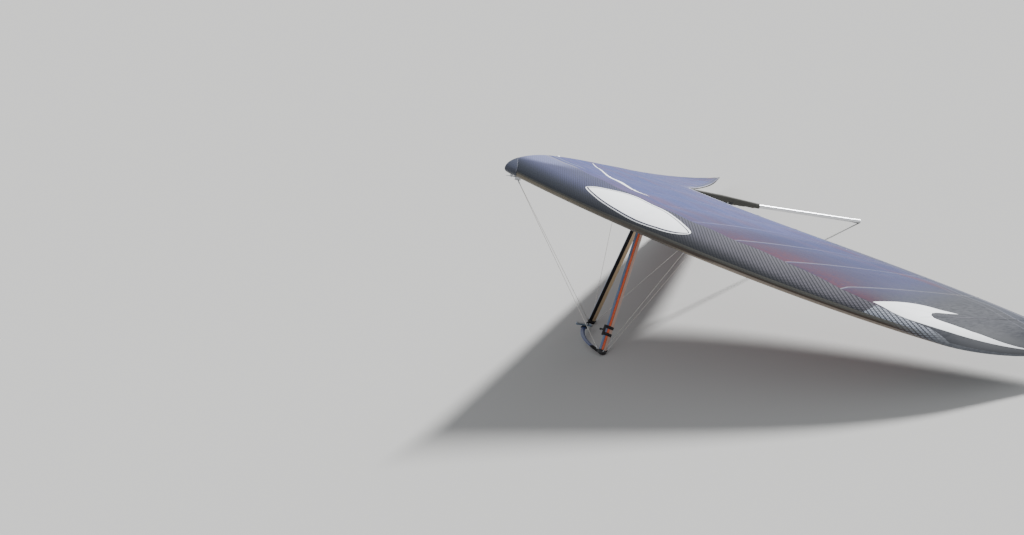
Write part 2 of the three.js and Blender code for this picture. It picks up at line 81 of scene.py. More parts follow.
# Shader helpers: a Level is one socket that can stand in a sum, a Finish is one material
class Level:
    def __init__(self, finish, socket):
        self.finish, self.socket = finish, socket

    def withMath(self, operation, first, second):
        return self.finish.node("ShaderNodeMath", {"operation": operation}, [first, second])

    def __add__(self, other):
        return self.withMath("ADD", self, other)

    def __radd__(self, other):
        return self.withMath("ADD", other, self)

    def __sub__(self, other):
        return self.withMath("SUBTRACT", self, other)

    def __rsub__(self, other):
        return self.withMath("SUBTRACT", other, self)

    def __mul__(self, other):
        return self.withMath("MULTIPLY", self, other)

    def __rmul__(self, other):
        return self.withMath("MULTIPLY", other, self)


class Finish:
    def __init__(self, name, roughness=0.5, metallic=0.0, **constants):
        self.material = bpy.data.materials.new(name)
        self.material.use_nodes = True
        self.tree = self.material.node_tree
        self.shader = self.tree.nodes["Principled BSDF"]
        self.shader.inputs["Roughness"].default_value = roughness
        self.shader.inputs["Metallic"].default_value = metallic
        for socket, value in constants.items():
            self.shader.inputs[socket.replace("_", " ")].default_value = value

    def node(self, kind, settings=None, sockets=(), output=0):
        made = self.tree.nodes.new(kind)
        for key, value in (settings or {}).items():
            setattr(made, key, value)
        pairs = sockets.items() if isinstance(sockets, dict) else enumerate(sockets)
        for key, value in pairs:
            if isinstance(value, Level):
                self.tree.links.new(value.socket, made.inputs[key])
            elif value is not None:
                made.inputs[key].default_value = value
        return Level(self, made.outputs[output])

    def link(self, socket, level):
        self.tree.links.new(level.socket, self.shader.inputs[socket])

    def read(self, attribute):
        return self.node("ShaderNodeAttribute", {"attribute_name": attribute}, (), "Fac")

    def place(self):
        return self.node("ShaderNodeTexCoord", {}, (), "Object")

    def fract(self, level):
        return self.node("ShaderNodeMath", {"operation": "FRACT"}, [level])

    def away(self, level):
        return self.node("ShaderNodeMath", {"operation": "ABSOLUTE"}, [level])

    def larger(self, first, second):
        return self.node("ShaderNodeMath", {"operation": "MAXIMUM"}, [first, second])

    # 0 below low, 1 above high, with a smooth rise between; swap the ends for a fall
    def rise(self, level, low, high):
        return self.node("ShaderNodeMapRange", {"interpolation_type": "SMOOTHSTEP"},
                         {0: level, 1: low, 2: high, 3: 0.0, 4: 1.0})

    # 1 within `half` of the middle, fading over `soft`
    def line(self, level, middle, half, soft):
        return self.rise(self.away(level - middle), half + soft, half)

    def vector(self, x, y, z):
        return self.node("ShaderNodeCombineXYZ", {}, [x, y, z])

    def noise(self, vector, scale, detail=3.0, rough=0.55):
        return self.node("ShaderNodeTexNoise", {}, {"Vector": vector, "Scale": scale, "Detail": detail,
                                                   "Roughness": rough})

    # the first colour where factor is 0, the second where it is 1
    def mix(self, factor, first, second):
        first = (*first, 1.0) if isinstance(first, tuple) else first
        second = (*second, 1.0) if isinstance(second, tuple) else second
        return self.node("ShaderNodeMix", {"data_type": "RGBA"}, {0: factor, 6: first, 7: second}, 2)

    def bump(self, height, distance, strength=1.0):
        self.link("Normal", self.node("ShaderNodeBump", {}, {"Strength": strength, "Distance": distance,
                                                            "Height": height}))


# Mesh helpers. All of them work in the glider's frame and turn the points only when the piece is made.
sides = (("left", 1), ("right", -1))


def finishPiece(obj, finish, body, stands=()):
    obj.data.materials.append(finish.material)
    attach(obj, body)
    if stands:
        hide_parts(*stands)
    return obj


def newObject(name, points, faces, values=None):
    mesh = bpy.data.meshes.new(name)
    mesh.from_pydata([tuple(p) for p in toRow(points)], [], faces)
    for key, numbers in (values or {}).items():
        attribute = mesh.attributes.new(key, "FLOAT", "POINT")
        attribute.data.foreach_set("value", np.asarray(numbers, np.float32))
    tidy = bmesh.new()
    tidy.from_mesh(mesh)
    bmesh.ops.recalc_face_normals(tidy, faces=tidy.faces)
    tidy.to_mesh(mesh)
    tidy.free()
    mesh.shade_smooth()
    obj = bpy.data.objects.new(name, mesh)
    bpy.context.scene.collection.objects.link(obj)
    return obj


def addModifier(obj, kind, **settings):
    modifier = obj.modifiers.new(kind.lower(), kind)
    for key, value in settings.items():
        setattr(modifier, key, value)
    return modifier


# Edges that turn by more than this stay sharp
def creaseByAngle(obj, degrees):
    bm = bmesh.new()
    bm.from_mesh(obj.data)
    for edge in bm.edges:
        if len(edge.link_faces) == 2:
            edge.smooth = edge.calc_face_angle(0) < math.radians(degrees)
    bm.to_mesh(obj.data)
    bm.free()


def unit(v):
    v = np.asarray(v, float)
    return v / np.linalg.norm(v)


# Faces between rows of points: `around` closes each row, `looped` joins the last row to the first
def gridFaces(rows, size, around=True, looped=False, capped=False, flip=False):
    faces = []
    for i in range(rows if looped else rows - 1):
        a, b = i * size, (i + 1) % rows * size
        for j in range(size if around else size - 1):
            k = (j + 1) % size
            faces.append((a + j, b + j, b + k, a + k) if flip else (a + j, a + k, b + k, b + j))
    if capped:
        faces += [tuple(range(size))[::-1], tuple(range((rows - 1) * size, rows * size))]
    return faces


# A flat outline made solid between two heights
def prism(outline, low, high):
    count = len(outline)
    points = [(x, y, low) for x, y in outline] + [(x, y, high) for x, y in outline]
    faces = [tuple(range(count))[::-1], tuple(range(count, 2 * count))]
    faces += [(i, (i + 1) % count, count + (i + 1) % count, count + i) for i in range(count)]
    return points, faces


# Two directions square to a line, and to each other
def axesAcross(along):
    lean = (0, 1, 0) if abs(along[2]) > 0.9 else (0, 0, 1)
    side = unit(np.cross(along, lean))
    return side, np.cross(side, along)


# The way a path runs at its i-th point
def heading(path, i, closed=False):
    if closed:
        return path[(i + 1) % len(path)] - path[i - 1]
    return path[min(i + 1, len(path) - 1)] - path[max(i - 1, 0)]


# Rings of points swept along a path, each one a list of (sideways, up) offsets
def sweepRings(path, rings, lean=(0, 0, 1), closed=False):
    path = np.asarray(path, float)
    rings = rings if isinstance(rings, list) else [rings] * len(path)
    points = []
    for i, centre in enumerate(path):
        along = unit(heading(path, i, closed))
        side = unit(np.cross(along, lean))
        up = np.cross(side, along)
        points += [centre + side * a + up * b for a, b in rings[i]]
    return points, gridFaces(len(path), len(rings[0]), looped=closed, capped=not closed)


def circle(radius, steps=24):
    turn = 2 * math.pi / steps
    return np.array([(radius * math.cos(i * turn), radius * math.sin(i * turn)) for i in range(steps)])


# A round bar whose radius changes along it: stops are (distance, radius)
def turnedBar(start, end, stops, steps=32):
    start, end = np.asarray(start, float), np.asarray(end, float)
    along = unit(end - start)
    side, up = axesAcross(along)
    points = []
    for i, (distance, radius) in enumerate(stops):
        centre = start + along * distance + along * 1e-7 * i    # rings at one place stay a hair apart
        points += [centre + side * a + up * b for a, b in circle(radius, steps)]
    return points, gridFaces(len(stops), steps, capped=True)


# A tube with both rims broken, as (distance, radius) round its wall
def wallProfile(length, inner, outer, rim=0.0012):
    return [(0, inner), (0, outer - rim), (rim, outer), (length - rim, outer), (length, outer - rim),
            (length, inner)]


def hollowBar(start, end, outer, inner, steps=56):
    start, end = np.asarray(start, float), np.asarray(end, float)
    along = unit(end - start)
    side, up = axesAcross(along)
    profile = wallProfile(float(np.linalg.norm(end - start)), inner, outer)
    points = [start + along * d + side * a + up * b for d, r in profile for a, b in circle(r, steps)]
    return points, gridFaces(len(profile), steps, looped=True)


def boxShape(centre, size, axes=((1, 0, 0), (0, 1, 0), (0, 0, 1))):
    axes = np.asarray(axes, float)
    corners = [(i, j, k) for i in (-0.5, 0.5) for j in (-0.5, 0.5) for k in (-0.5, 0.5)]
    points = [np.asarray(centre) + (np.array(c) * np.array(size)) @ axes for c in corners]
    faces = [(0, 1, 3, 2), (4, 6, 7, 5), (0, 4, 5, 1), (2, 3, 7, 6), (0, 2, 6, 4), (1, 5, 7, 3)]
    return points, faces


def joined(*shapes):
    points, faces = [], []
    for shapePoints, shapeFaces in shapes:
        start = len(points)
        points += list(shapePoints)
        faces += [tuple(start + i for i in face) for face in shapeFaces]
    return points, faces


# A round cord or rod bent into a ring
def ringShape(centre, axis, radius, thick, steps=28):
    axis = unit(axis)
    lean = (1, 0, 0) if abs(axis[0]) < 0.9 else (0, 1, 0)
    side = unit(np.cross(axis, lean))
    up = np.cross(side, axis)
    turn = 2 * math.pi / steps
    path = [np.asarray(centre) + radius * (math.cos(i * turn) * side + math.sin(i * turn) * up)
            for i in range(steps)]
    return sweepRings(path, circle(thick, 10), axis, closed=True)


# A six-sided head on a washer
def hexBolt(centre, axis, across, tall, washer, washerThick=0.0012):
    axis = unit(axis)
    centre = np.asarray(centre, float)
    head = turnedBar(centre + axis * washerThick, centre + axis * (washerThick + tall),
                     [(0, across / 2), (tall * 0.85, across / 2), (tall, across * 0.42)], 6)
    plate = turnedBar(centre, centre + axis * washerThick, [(0, washer), (washerThick, washer)], 24)
    return joined(head, plate)


# A pin that lies across the keel's line
def crossPin(x, z, half, radius, steps=20):
    return turnedBar((x, -half, z), (x, half, z), [(0, radius), (2 * half, radius)], steps)


# A rigid piece on the airframe, its sharp edges broken by a small bevel
def hardPiece(name, shape, finish, stands=(), bevel=0.0015, segments=2):
    obj = newObject(name, *shape)
    if bevel:
        addModifier(obj, "BEVEL", width=bevel, segments=segments, limit_method="ANGLE",
                    angle_limit=math.radians(40), harden_normals=True)
    creaseByAngle(obj, 40)
    return finishPiece(obj, finish, "airframe", stands)


# The wing's surface, from the same measures as the solids
wing = {
    "semiSpan": 5.400, "panelSpan": 5.130, "sweep": math.radians(26), "anhedral": math.radians(5.56),
    "flexRise": 0.229, "bendAft": 0.080, "wandAft": 0.150, "rootChord": 1.810, "tipChord": 0.310,
    "edgeBow": 0.066, "rootRise": 0.041, "notchRise": 0.033, "tipRise": 0.203, "bulge": 0.054,
    "tipDroop": 0.020, "tipRound": 0.450, "tipBlunt": 0.1,
    "fairingHalf": 0.330, "fairingDepth": 0.030, "fairingEnd": 0.7, "edgeThick": 0.003,
}
upper = {"height": 0.094, "peak": 0.238, "power": 1.7}
lower = {"height": -0.031, "peak": 0.080, "power": 1.3}


def sparLine(y):
    y = np.asarray(y, float)
    out = np.abs(y)
    share = out / wing["panelSpan"]
    outer = np.maximum(0, share - 0.5) / 0.5
    x = -math.tan(wing["sweep"]) * out - wing["bendAft"] * outer ** 2 - wing["wandAft"] * outer ** 6
    return np.stack([x, y, -math.tan(wing["anhedral"]) * out + wing["flexRise"] * share ** 2], -1)


tipBack = float(sparLine(wing["panelSpan"])[0]) - wing["tipChord"]


def trailingEdge(y):
    y = np.asarray(y, float)
    share = np.abs(y) / wing["panelSpan"]
    arch = 4 * share * (1 - share)
    height = (wing["rootRise"] + wing["notchRise"] * (1 - share) ** 6 + wing["tipRise"] * share
              + wing["bulge"] * arch - wing["tipDroop"] * share ** 8)
    x = -wing["rootChord"] * (1 - share) + tipBack * share - wing["edgeBow"] * arch
    return np.stack([x, y, sparLine(y)[..., 2] + height], -1)


def leadingEdge(y):
    y = np.asarray(y, float)
    turn = np.maximum(0, np.abs(y) - wing["semiSpan"] + wing["tipRound"]) / wing["tipRound"]
    back = (1 - np.sqrt(np.maximum(0, 1 - turn ** 2))) * (1 - wing["tipBlunt"])
    return sparLine(y) + (trailingEdge(y) - sparLine(y)) * back[..., None]


def sectionHeight(form, s):
    front = np.maximum(0, form["peak"] - s) / form["peak"]
    rear = np.maximum(0, s - form["peak"]) / (1 - form["peak"])
    rise = np.where(s < form["peak"], np.sqrt(1 - front ** 2), 1 - rear ** form["power"])
    return form["height"] * rise


def skinPoint(y, s, side):
    y, s = np.broadcast_arrays(np.asarray(y, float), np.asarray(s, float))
    front, back = leadingEdge(y), trailingEdge(y)
    point = front + (back - front) * s[..., None]
    chord = front[..., 0] - back[..., 0]
    thick = sectionHeight(upper if side > 0 else lower, s) * chord
    half = wing["edgeThick"] / 2
    point[..., 2] += np.where(s > 0.5, side * np.maximum(side * thick, half), thick)
    if side < 0:
        near = (1 + np.cos(math.pi * np.minimum(1, np.abs(y) / wing["fairingHalf"]))) / 2
        weight = near * np.minimum(1, s / lower["peak"]) * (s > 0)
        closing = np.maximum(0, s - wing["fairingEnd"]) / (1 - wing["fairingEnd"])
        low = -wing["fairingDepth"] * (1 - closing) + (wing["rootRise"] + wing["notchRise"]) * closing
        point[..., 2] += weight * np.minimum(0, low - half - point[..., 2])
    return point


# Battens fan outwards from the rear of the leading-edge panel; the mesh's chordwise lines follow them.
cloth = {
    "battens": [0.24, 0.76, 1.31, 1.87, 2.43, 2.98, 3.556, 4.144, 4.72],
    "fan": [(0.0, 0.0), (1.0, 0.08), (2.4, 0.34), (3.0, 0.50), (4.2, 0.58), (4.8, 0.80), (5.4, 0.80)],
    "panelEdge": [(0.0, 0.215), (0.6, 0.236), (3.5, 0.228), (4.0, 0.19), (4.36, 0.146), (4.7, 0.112),
                  (4.85, 0.10), (4.95, 0.045), (5.0, 0.0)],
    "fanStart": 0.23,       # chord share where the battens' fan begins
    "ridge": 0.0035,
    "ridgeHalf": 0.006,
    "billow": 0.009,
    "thick": 0.0011,
}


def fromTable(table, value):
    return np.interp(value, [a for a, _ in table], [b for _, b in table])


def chordAt(y):
    return leadingEdge(y)[..., 0] - trailingEdge(y)[..., 0]


# y of the chordwise line that leaves the leading edge at q, at chord share s
def fanned(q, s):
    return q + fromTable(cloth["fan"], q) * np.maximum(0, s - cloth["fanStart"]) * chordAt(q)


def sailStations():
    marks = [0.0002, 0.018, 0.037, 0.054, 0.075, 0.11, 0.16]
    for batten in cloth["battens"]:
        marks += [batten + d for d in (-0.022, -0.010, -0.004, 0.0, 0.004, 0.010, 0.022)]
    edges = [0.16] + cloth["battens"] + [4.95]
    for a, b in zip(edges, edges[1:]):
        gap = b - a
        marks += [a + gap * share for share in (0.12, 0.22, 0.35, 0.5, 0.65, 0.78, 0.88)]
    tip = wing["semiSpan"] - wing["tipRound"] * (1 - np.sin(np.linspace(0, math.pi / 2, 22)))
    return np.unique(np.round(np.array(marks + list(tip)), 5))


# Openings in the undersurface round the apex and the hang strap, as chord shares and half widths
slots = {"front": 0.768, "apexBack": 0.830, "back": 0.945, "apexHalf": 0.054, "strapHalf": 0.037}


def chordShares():
    front = (1 - np.cos(np.linspace(0, math.pi / 2, 20))) * 0.30
    rear = np.linspace(0.30, 1.0, 25)[1:]
    extra = [slots["front"], slots["apexBack"], slots["back"], 0.985, 0.993]
    spread = np.concatenate([front, rear])
    clear = [s for s in spread if min(abs(s - e) for e in extra) > 0.006 or s == 1.0]
    return np.array(sorted(set(clear + extra)))


# Which batten a place is at: 0 at the first, 1 at the second, and parts between
def battenPlace(q):
    return np.interp(q, [-0.28] + cloth["battens"] + [5.4], range(-1, len(cloth["battens"]) + 1))


# What the cloth adds to the bare surface: billow between battens, and a ridge over each one
def clothLift(q, s, side):
    phase = battenPlace(q)
    between = np.sin(math.pi * (phase % 1.0)) ** 2
    inside = np.clip((s - 0.03) / 0.25, 0, 1) * np.clip((1 - s) / 0.12, 0, 1)
    distance = np.min(np.abs(q[..., None] - np.array(cloth["battens"])), -1)
    pocketed = np.clip((s - 0.2) / 0.04, 0, 1) * np.clip((1 - s) / 0.01, 0, 1)
    ridge = np.exp(-(distance / cloth["ridgeHalf"]) ** 2) * pocketed
    fade = np.clip((q - 0.1) / 0.3, 0, 1) * np.clip((5.3 - q) / 0.5, 0, 1)
    return side * (cloth["billow"] * between * inside * fade + cloth["ridge"] * ridge * fade)


def clothPoint(q, s, side):
    y = fanned(q, s)
    point = skinPoint(y, s, side)
    point[..., 2] += clothLift(q, s, side)
    return point


print("wing measures ready")


scrim = {"pitch": 0.0180, "lean": math.radians(25.5), "stretch": 1.1126, "cuffStart": 4.462}


# Threads of the scrim run both ways at a small angle to the leading edge: 1 on a thread, 0 between
def scrimThreads(f, span, girth):
    lengthwise = span * (scrim["stretch"] * math.sin(scrim["lean"]) / scrim["pitch"])
    crosswise = girth * (math.cos(scrim["lean"]) / scrim["pitch"])
    first = f.away(f.fract(lengthwise + crosswise) - 0.5)
    second = f.away(f.fract(lengthwise - crosswise) - 0.5)
    return f.larger(f.rise(first, 0.25, 0.37), f.rise(second, 0.27, 0.38) * 0.9)


def sailFinish(name):
    # smoked laminate over a red and grey undersurface, with a scrim panel along the leading edge
    f = Finish(name, roughness=0.42, Specular_IOR_Level=0.14)
    span, chordShare, aft, girth = f.read("spanOut"), f.read("chordShare"), f.read("aft"), f.read("girth")
    batten, under, panel = f.read("batten"), f.read("underside"), f.read("panelShare")
    fromEdge = f.read("fromEdge")
    streaks = f.noise(f.vector(span * 0.5, aft * 12.0, 0.0), 1.0, 5.0, 0.62)
    pinks = f.noise(f.vector(span * 0.35, aft * 7.0, 9.0), 1.0, 4.0, 0.6)
    broad = f.noise(f.vector(span * 0.8, aft * 2.2, 4.0), 1.0, 2.0, 0.5)
    grain = f.rise(f.noise(f.vector(span * 40.0, aft * 48.0, 1.0), 1.0, 5.0, 0.75), 0.30, 0.70)
    fibres = f.noise(f.vector(span * 5.0, aft * 60.0, 6.0), 1.0, 4.0, 0.65)
    outboard = f.rise(span, 2.7, 4.7)
    # the blue and violet streaks are partly the laminate's own tint and partly a painted sky reflection
    blueTintAndSkySheen = f.mix(outboard, (0.036, 0.056, 0.185), (0.042, 0.052, 0.102))
    violetTintAndSkySheen = f.mix(outboard, (0.072, 0.072, 0.192), (0.055, 0.056, 0.106))
    smoke = f.mix(f.rise(streaks, 0.38, 0.62), blueTintAndSkySheen, violetTintAndSkySheen)
    smoke = f.mix(f.rise(pinks, 0.48, 0.66) * 0.65, smoke, (0.092, 0.052, 0.112))
    smoke = f.mix(f.rise(broad, 0.40, 0.66) * 0.35, smoke, blueTintAndSkySheen)
    smoke = f.mix(f.rise(fibres, 0.44, 0.60) * 0.30, smoke, (0.018, 0.024, 0.078))
    # the red of the undersurface shows through behind the panel and near the hem
    cell = f.fract(batten)
    within = f.rise(cell, 0.0, 0.05) * f.rise(cell, 1.0, 0.985)
    outwards = f.rise(span, 2.0, 3.6) * f.rise(span, 4.66, 4.30)
    plum = f.rise(panel, 0.99, 1.02) * f.rise(panel, 3.5, 1.3) * f.rise(cell, 0.0, 0.05)
    plum = plum * f.rise(span, 1.6, 3.3) * f.rise(span, 4.66, 4.40)
    smoke = f.mix(plum * 0.85, smoke, (0.035, 0.025, 0.039))
    mottle = f.rise(grain * 0.5 + streaks, 0.52, 0.96)
    behind = f.rise(panel, 0.99, 1.02) * f.rise(panel, 2.30, 1.02)
    red = behind * within * outwards * (0.34 + cell * 0.5) * (0.25 + mottle * 0.75)
    rearRed = f.line(chordShare, 0.865, 0.012, 0.045) * f.rise(span, 1.6, 3.4)
    rearRed = rearRed * f.rise(streaks, 0.44, 0.60)
    smoke = f.mix(f.line(span, 3.5, 0.5, 0.6) * 0.42, smoke, (0.016, 0.016, 0.070))
    smoke = f.mix(red, smoke, (0.090, 0.014, 0.026))
    smoke = f.mix(rearRed * 0.70, smoke, (0.084, 0.026, 0.044))
    tipGrey = f.mix(grain, (0.027, 0.029, 0.036), (0.059, 0.062, 0.072))
    tipPale = f.rise(chordShare, 0.60, 0.25) * f.rise(span, 4.85, 5.15)
    tipGrey = f.mix(tipPale * 0.7, tipGrey, (0.116, 0.119, 0.125))
    smoke = f.mix(f.rise(span + chordShare * 0.3, 4.30, 4.85), smoke, tipGrey)
    # the leading-edge panel: painted shade darkens its front, a painted highlight runs along its crest
    # near the nose, and it is paler from the tip cuff outwards
    thread = scrimThreads(f, span, girth)
    # painted shade: the panel is darker towards its front, where it turns away from the light
    front = f.mix(f.rise(span, 0.2, 3.0), (0.014, 0.018, 0.029), (0.021, 0.022, 0.025))
    rear = f.mix(f.rise(span, 0.8, 3.4), (0.050, 0.055, 0.121), (0.094, 0.089, 0.107))
    # painted highlight: a pale blue band along the crest of the panel near the nose
    crestHighlight = f.rise(chordShare - span * 0.22, 0.035, 0.085) * f.rise(chordShare, 0.265, 0.215)
    rear = f.mix(crestHighlight * f.rise(span, 0.75, 0.25) * 0.75, rear, (0.178, 0.194, 0.345))
    sooner = 1.0 + f.rise(span, 2.8, 4.2) * 0.70
    shadedPanelGround = f.mix(f.rise(chordShare * sooner, 0.020, 0.125), front, rear)
    cuffBow = (girth - 0.09) * (girth - 0.09) * 5.0
    cuff = f.rise(span + cuffBow, scrim["cuffStart"], scrim["cuffStart"] + 0.006)
    # painted shade darkens the cuff's front; the pale cloth further back is the cuff's own colour
    cuffClothShadedFront = f.mix(f.rise(chordShare, 0.0, 0.09), (0.178, 0.196, 0.236), (0.300, 0.320, 0.370))
    shadedPanelGround = f.mix(cuff, shadedPanelGround, cuffClothShadedFront)
    speckled = f.mix(grain, (0.086, 0.091, 0.104), (0.188, 0.195, 0.212))
    threadDepth = f.rise(span, -1.0, 2.6) * f.rise(span, 5.02, 4.90)
    panelColour = f.mix(thread * threadDepth * 0.88, shadedPanelGround, (0.009, 0.011, 0.015))
    panelColour = f.mix(f.rise(span, 4.80, 4.98), panelColour, speckled)
    # a folded tape binds its front edge: tan near the keel, olive and brown further out
    tan = f.mix(f.rise(span, 1.0, 2.2), (0.147, 0.124, 0.089), (0.075, 0.062, 0.049))
    tape = f.mix(f.rise(span, 2.0, 2.9), tan, (0.051, 0.037, 0.027))
    wider = f.rise(span, 1.4, 2.8) * 0.009
    tape = f.mix(f.rise(girth - wider, 0.009, 0.013), tape, (0.056, 0.055, 0.048))
    lip = f.rise(girth, 0.0100, 0.0070) * f.rise(span, 3.0, 3.3)
    tape = f.mix(lip, tape, (0.235, 0.194, 0.160))
    taped = f.rise(girth - wider * 1.8, 0.029, 0.023) * f.rise(span, 5.0, 4.6)
    panelColour = f.mix(taped, panelColour, tape)
    inPanel = f.rise(panel, 1.004, 0.996)
    colour = f.mix(inPanel, smoke, panelColour)
    seamDark = f.line(panel, 1.02, 0.008, 0.006) * f.rise(span, 2.3, 2.6) * f.rise(span, 4.5, 4.4)
    colour = f.mix(seamDark * f.rise(cell, 0.55, 0.25) * 0.8, colour, (0.010, 0.013, 0.019))
    seamLight = f.line(panel, 1.0, 0.030, 0.010) + f.line(panel, 1.16, 0.020, 0.010)
    seamLight = seamLight * f.rise(span, 0.62, 0.44)
    # light thread line over each batten, and the hem's rows
    fromBatten = f.away(f.fract(batten + 0.5) - 0.5)
    battenLine = f.rise(fromBatten, 0.014, 0.006) * f.rise(chordShare, 0.82, 0.20)
    battenLine = battenLine * f.rise(panel, 0.99, 1.01) * f.rise(span, 2.15, 2.85)
    battenLine = battenLine * (f.rise(span, 4.72, 4.66) + f.rise(span, 4.76, 4.84))
    colour = f.mix(battenLine * 0.75, colour, (0.225, 0.213, 0.250))
    hem = f.rise(fromEdge, 0.056, 0.052)
    hemCloth = f.mix(f.rise(span, 1.2, 0.3), (0.041, 0.048, 0.070), (0.138, 0.144, 0.225))
    colour = f.mix(hem * 0.5, colour, hemCloth)
    edging = f.rise(fromEdge, 0.013, 0.011) * f.rise(span, 2.6, 1.0)
    colour = f.mix(edging * 0.8, colour, (0.300, 0.306, 0.375))
    rows = f.line(fromEdge, 0.054, 0.0014, 0.0012) + f.line(fromEdge, 0.090, 0.0014, 0.0012) * 0.5
    rows = rows + f.line(fromEdge, 0.008, 0.004, 0.002)
    colour = f.mix(f.larger(rows * 0.5, seamLight * 0.7), colour, (0.188, 0.188, 0.231))
    # undersurface: a pale strip under the section's nose, then red and grey panels with a zip each side
    strip = f.mix(f.rise(span, 2.4, 3.3), tan, (0.325, 0.269, 0.213))
    strip = f.mix(f.line(chordShare, 0.052, 0.002, 0.002), strip, (0.028, 0.022, 0.018))
    redPanels = f.mix(f.rise(span, 0.50, 0.505) * f.rise(span, 4.425, 4.42), (0.044, 0.046, 0.053),
                      (0.188, 0.030, 0.029))
    redPanels = f.mix(f.rise(streaks, 0.4, 0.7) * 0.35, redPanels, (0.119, 0.025, 0.027))
    zipLine = f.line(span, 0.62, 0.006, 0.001)
    zipLine = zipLine * f.rise(chordShare, 0.2, 0.21) * f.rise(chordShare, 0.9, 0.89)
    teeth = f.rise(f.fract(aft * 320.0), 0.35, 0.5) * f.line(span, 0.62, 0.002, 0.0005)
    redPanels = f.mix(zipLine, redPanels, f.mix(teeth, (0.009, 0.009, 0.010), (0.188, 0.188, 0.194)))
    lowSeams = f.line(fromBatten, 0.0, 0.006, 0.004) + f.line(chordShare, 0.070, 0.001, 0.001)
    redPanels = f.mix(lowSeams * 0.5, redPanels, (0.028, 0.011, 0.011))
    beneath = f.mix(f.rise(chordShare, 0.070, 0.071), strip, redPanels)
    beneath = f.mix(f.rise(span, 4.9, 5.05), beneath, speckled)
    colour = f.mix(under, colour, beneath)
    binding = f.rise(fromEdge, 0.006, 0.003) * f.rise(span, 3.2, 1.6)
    colour = f.mix(binding * 0.8, colour, (0.620, 0.630, 0.700))
    f.link("Base Color", f.mix(grain * 0.24, colour, (0.019, 0.019, 0.022)))
    weave = f.larger(thread * inPanel, grain * 0.3)
    f.bump(weave + rows * 0.8 + seamLight + zipLine * 2.0, 0.0006, 0.6)
    f.link("Roughness", 0.36 + grain * 0.16)
    return f


sailCloth = sailFinish("smoked_laminate")


def makeSail(sideName, sign):
    stations, shares = sailStations(), chordShares()
    q, s = np.meshgrid(stations, shares, indexing="ij")
    top, low = clothPoint(q, s, 1), clothPoint(q, s, -1)
    low[:, 0], low[:, -1] = top[:, 0], low[:, -1]
    rows, columns = q.shape
    points = np.concatenate([top.reshape(-1, 3), low[:, 1:].reshape(-1, 3)])
    points[:, 1] *= sign
    lowStart = rows * columns

    def topIndex(i, j):
        return i * columns + j

    def lowIndex(i, j):
        return topIndex(i, 0) if j == 0 else lowStart + i * (columns - 1) + j - 1

    faces = []
    for i in range(rows - 1):
        for j in range(columns - 1):
            faces.append((topIndex(i, j), topIndex(i + 1, j), topIndex(i + 1, j + 1), topIndex(i, j + 1)))
            middleQ = (stations[i] + stations[i + 1]) / 2
            middleS = (shares[j] + shares[j + 1]) / 2
            inApex = middleQ < slots["apexHalf"] and slots["front"] < middleS < slots["apexBack"]
            inStrap = middleQ < slots["strapHalf"] and slots["front"] < middleS < slots["back"]
            if not (inApex or inStrap):
                faces.append((lowIndex(i, j), lowIndex(i, j + 1),
                              lowIndex(i + 1, j + 1), lowIndex(i + 1, j)))
        faces.append((topIndex(i, columns - 1), topIndex(i + 1, columns - 1),
                      lowIndex(i + 1, columns - 1), lowIndex(i, columns - 1)))
    y = fanned(q, s)
    chord = chordAt(y)
    panel = s / np.maximum(0.02, fromTable(cloth["panelEdge"], q))
    girths = []
    for skin in (top, low):
        steps = np.linalg.norm(np.diff(skin, axis=1), axis=2)
        girths.append(np.concatenate([np.zeros((rows, 1)), np.cumsum(steps, axis=1)], axis=1))
    values = {"spanOut": y, "chordShare": s, "aft": s * chord, "batten": battenPlace(q) + 1.0,
              "panelShare": panel, "fromEdge": (1 - s) * chord}
    full = {}
    for key, grid in values.items():
        full[key] = np.concatenate([grid.ravel(), grid[:, 1:].ravel()])
    full["girth"] = np.concatenate([girths[0].ravel(), girths[1][:, 1:].ravel()])
    full["underside"] = np.concatenate([np.zeros(rows * columns), np.ones(rows * (columns - 1))])
    obj = newObject(f"sail_{sideName}_cloth", points, faces, full)
    addModifier(obj, "SOLIDIFY", thickness=cloth["thick"], offset=-1.0)
    return finishPiece(obj, sailCloth, "airframe", [f"sail_{sideName}"])


for sideName, sign in sides:
    makeSail(sideName, sign)
print("sails made")

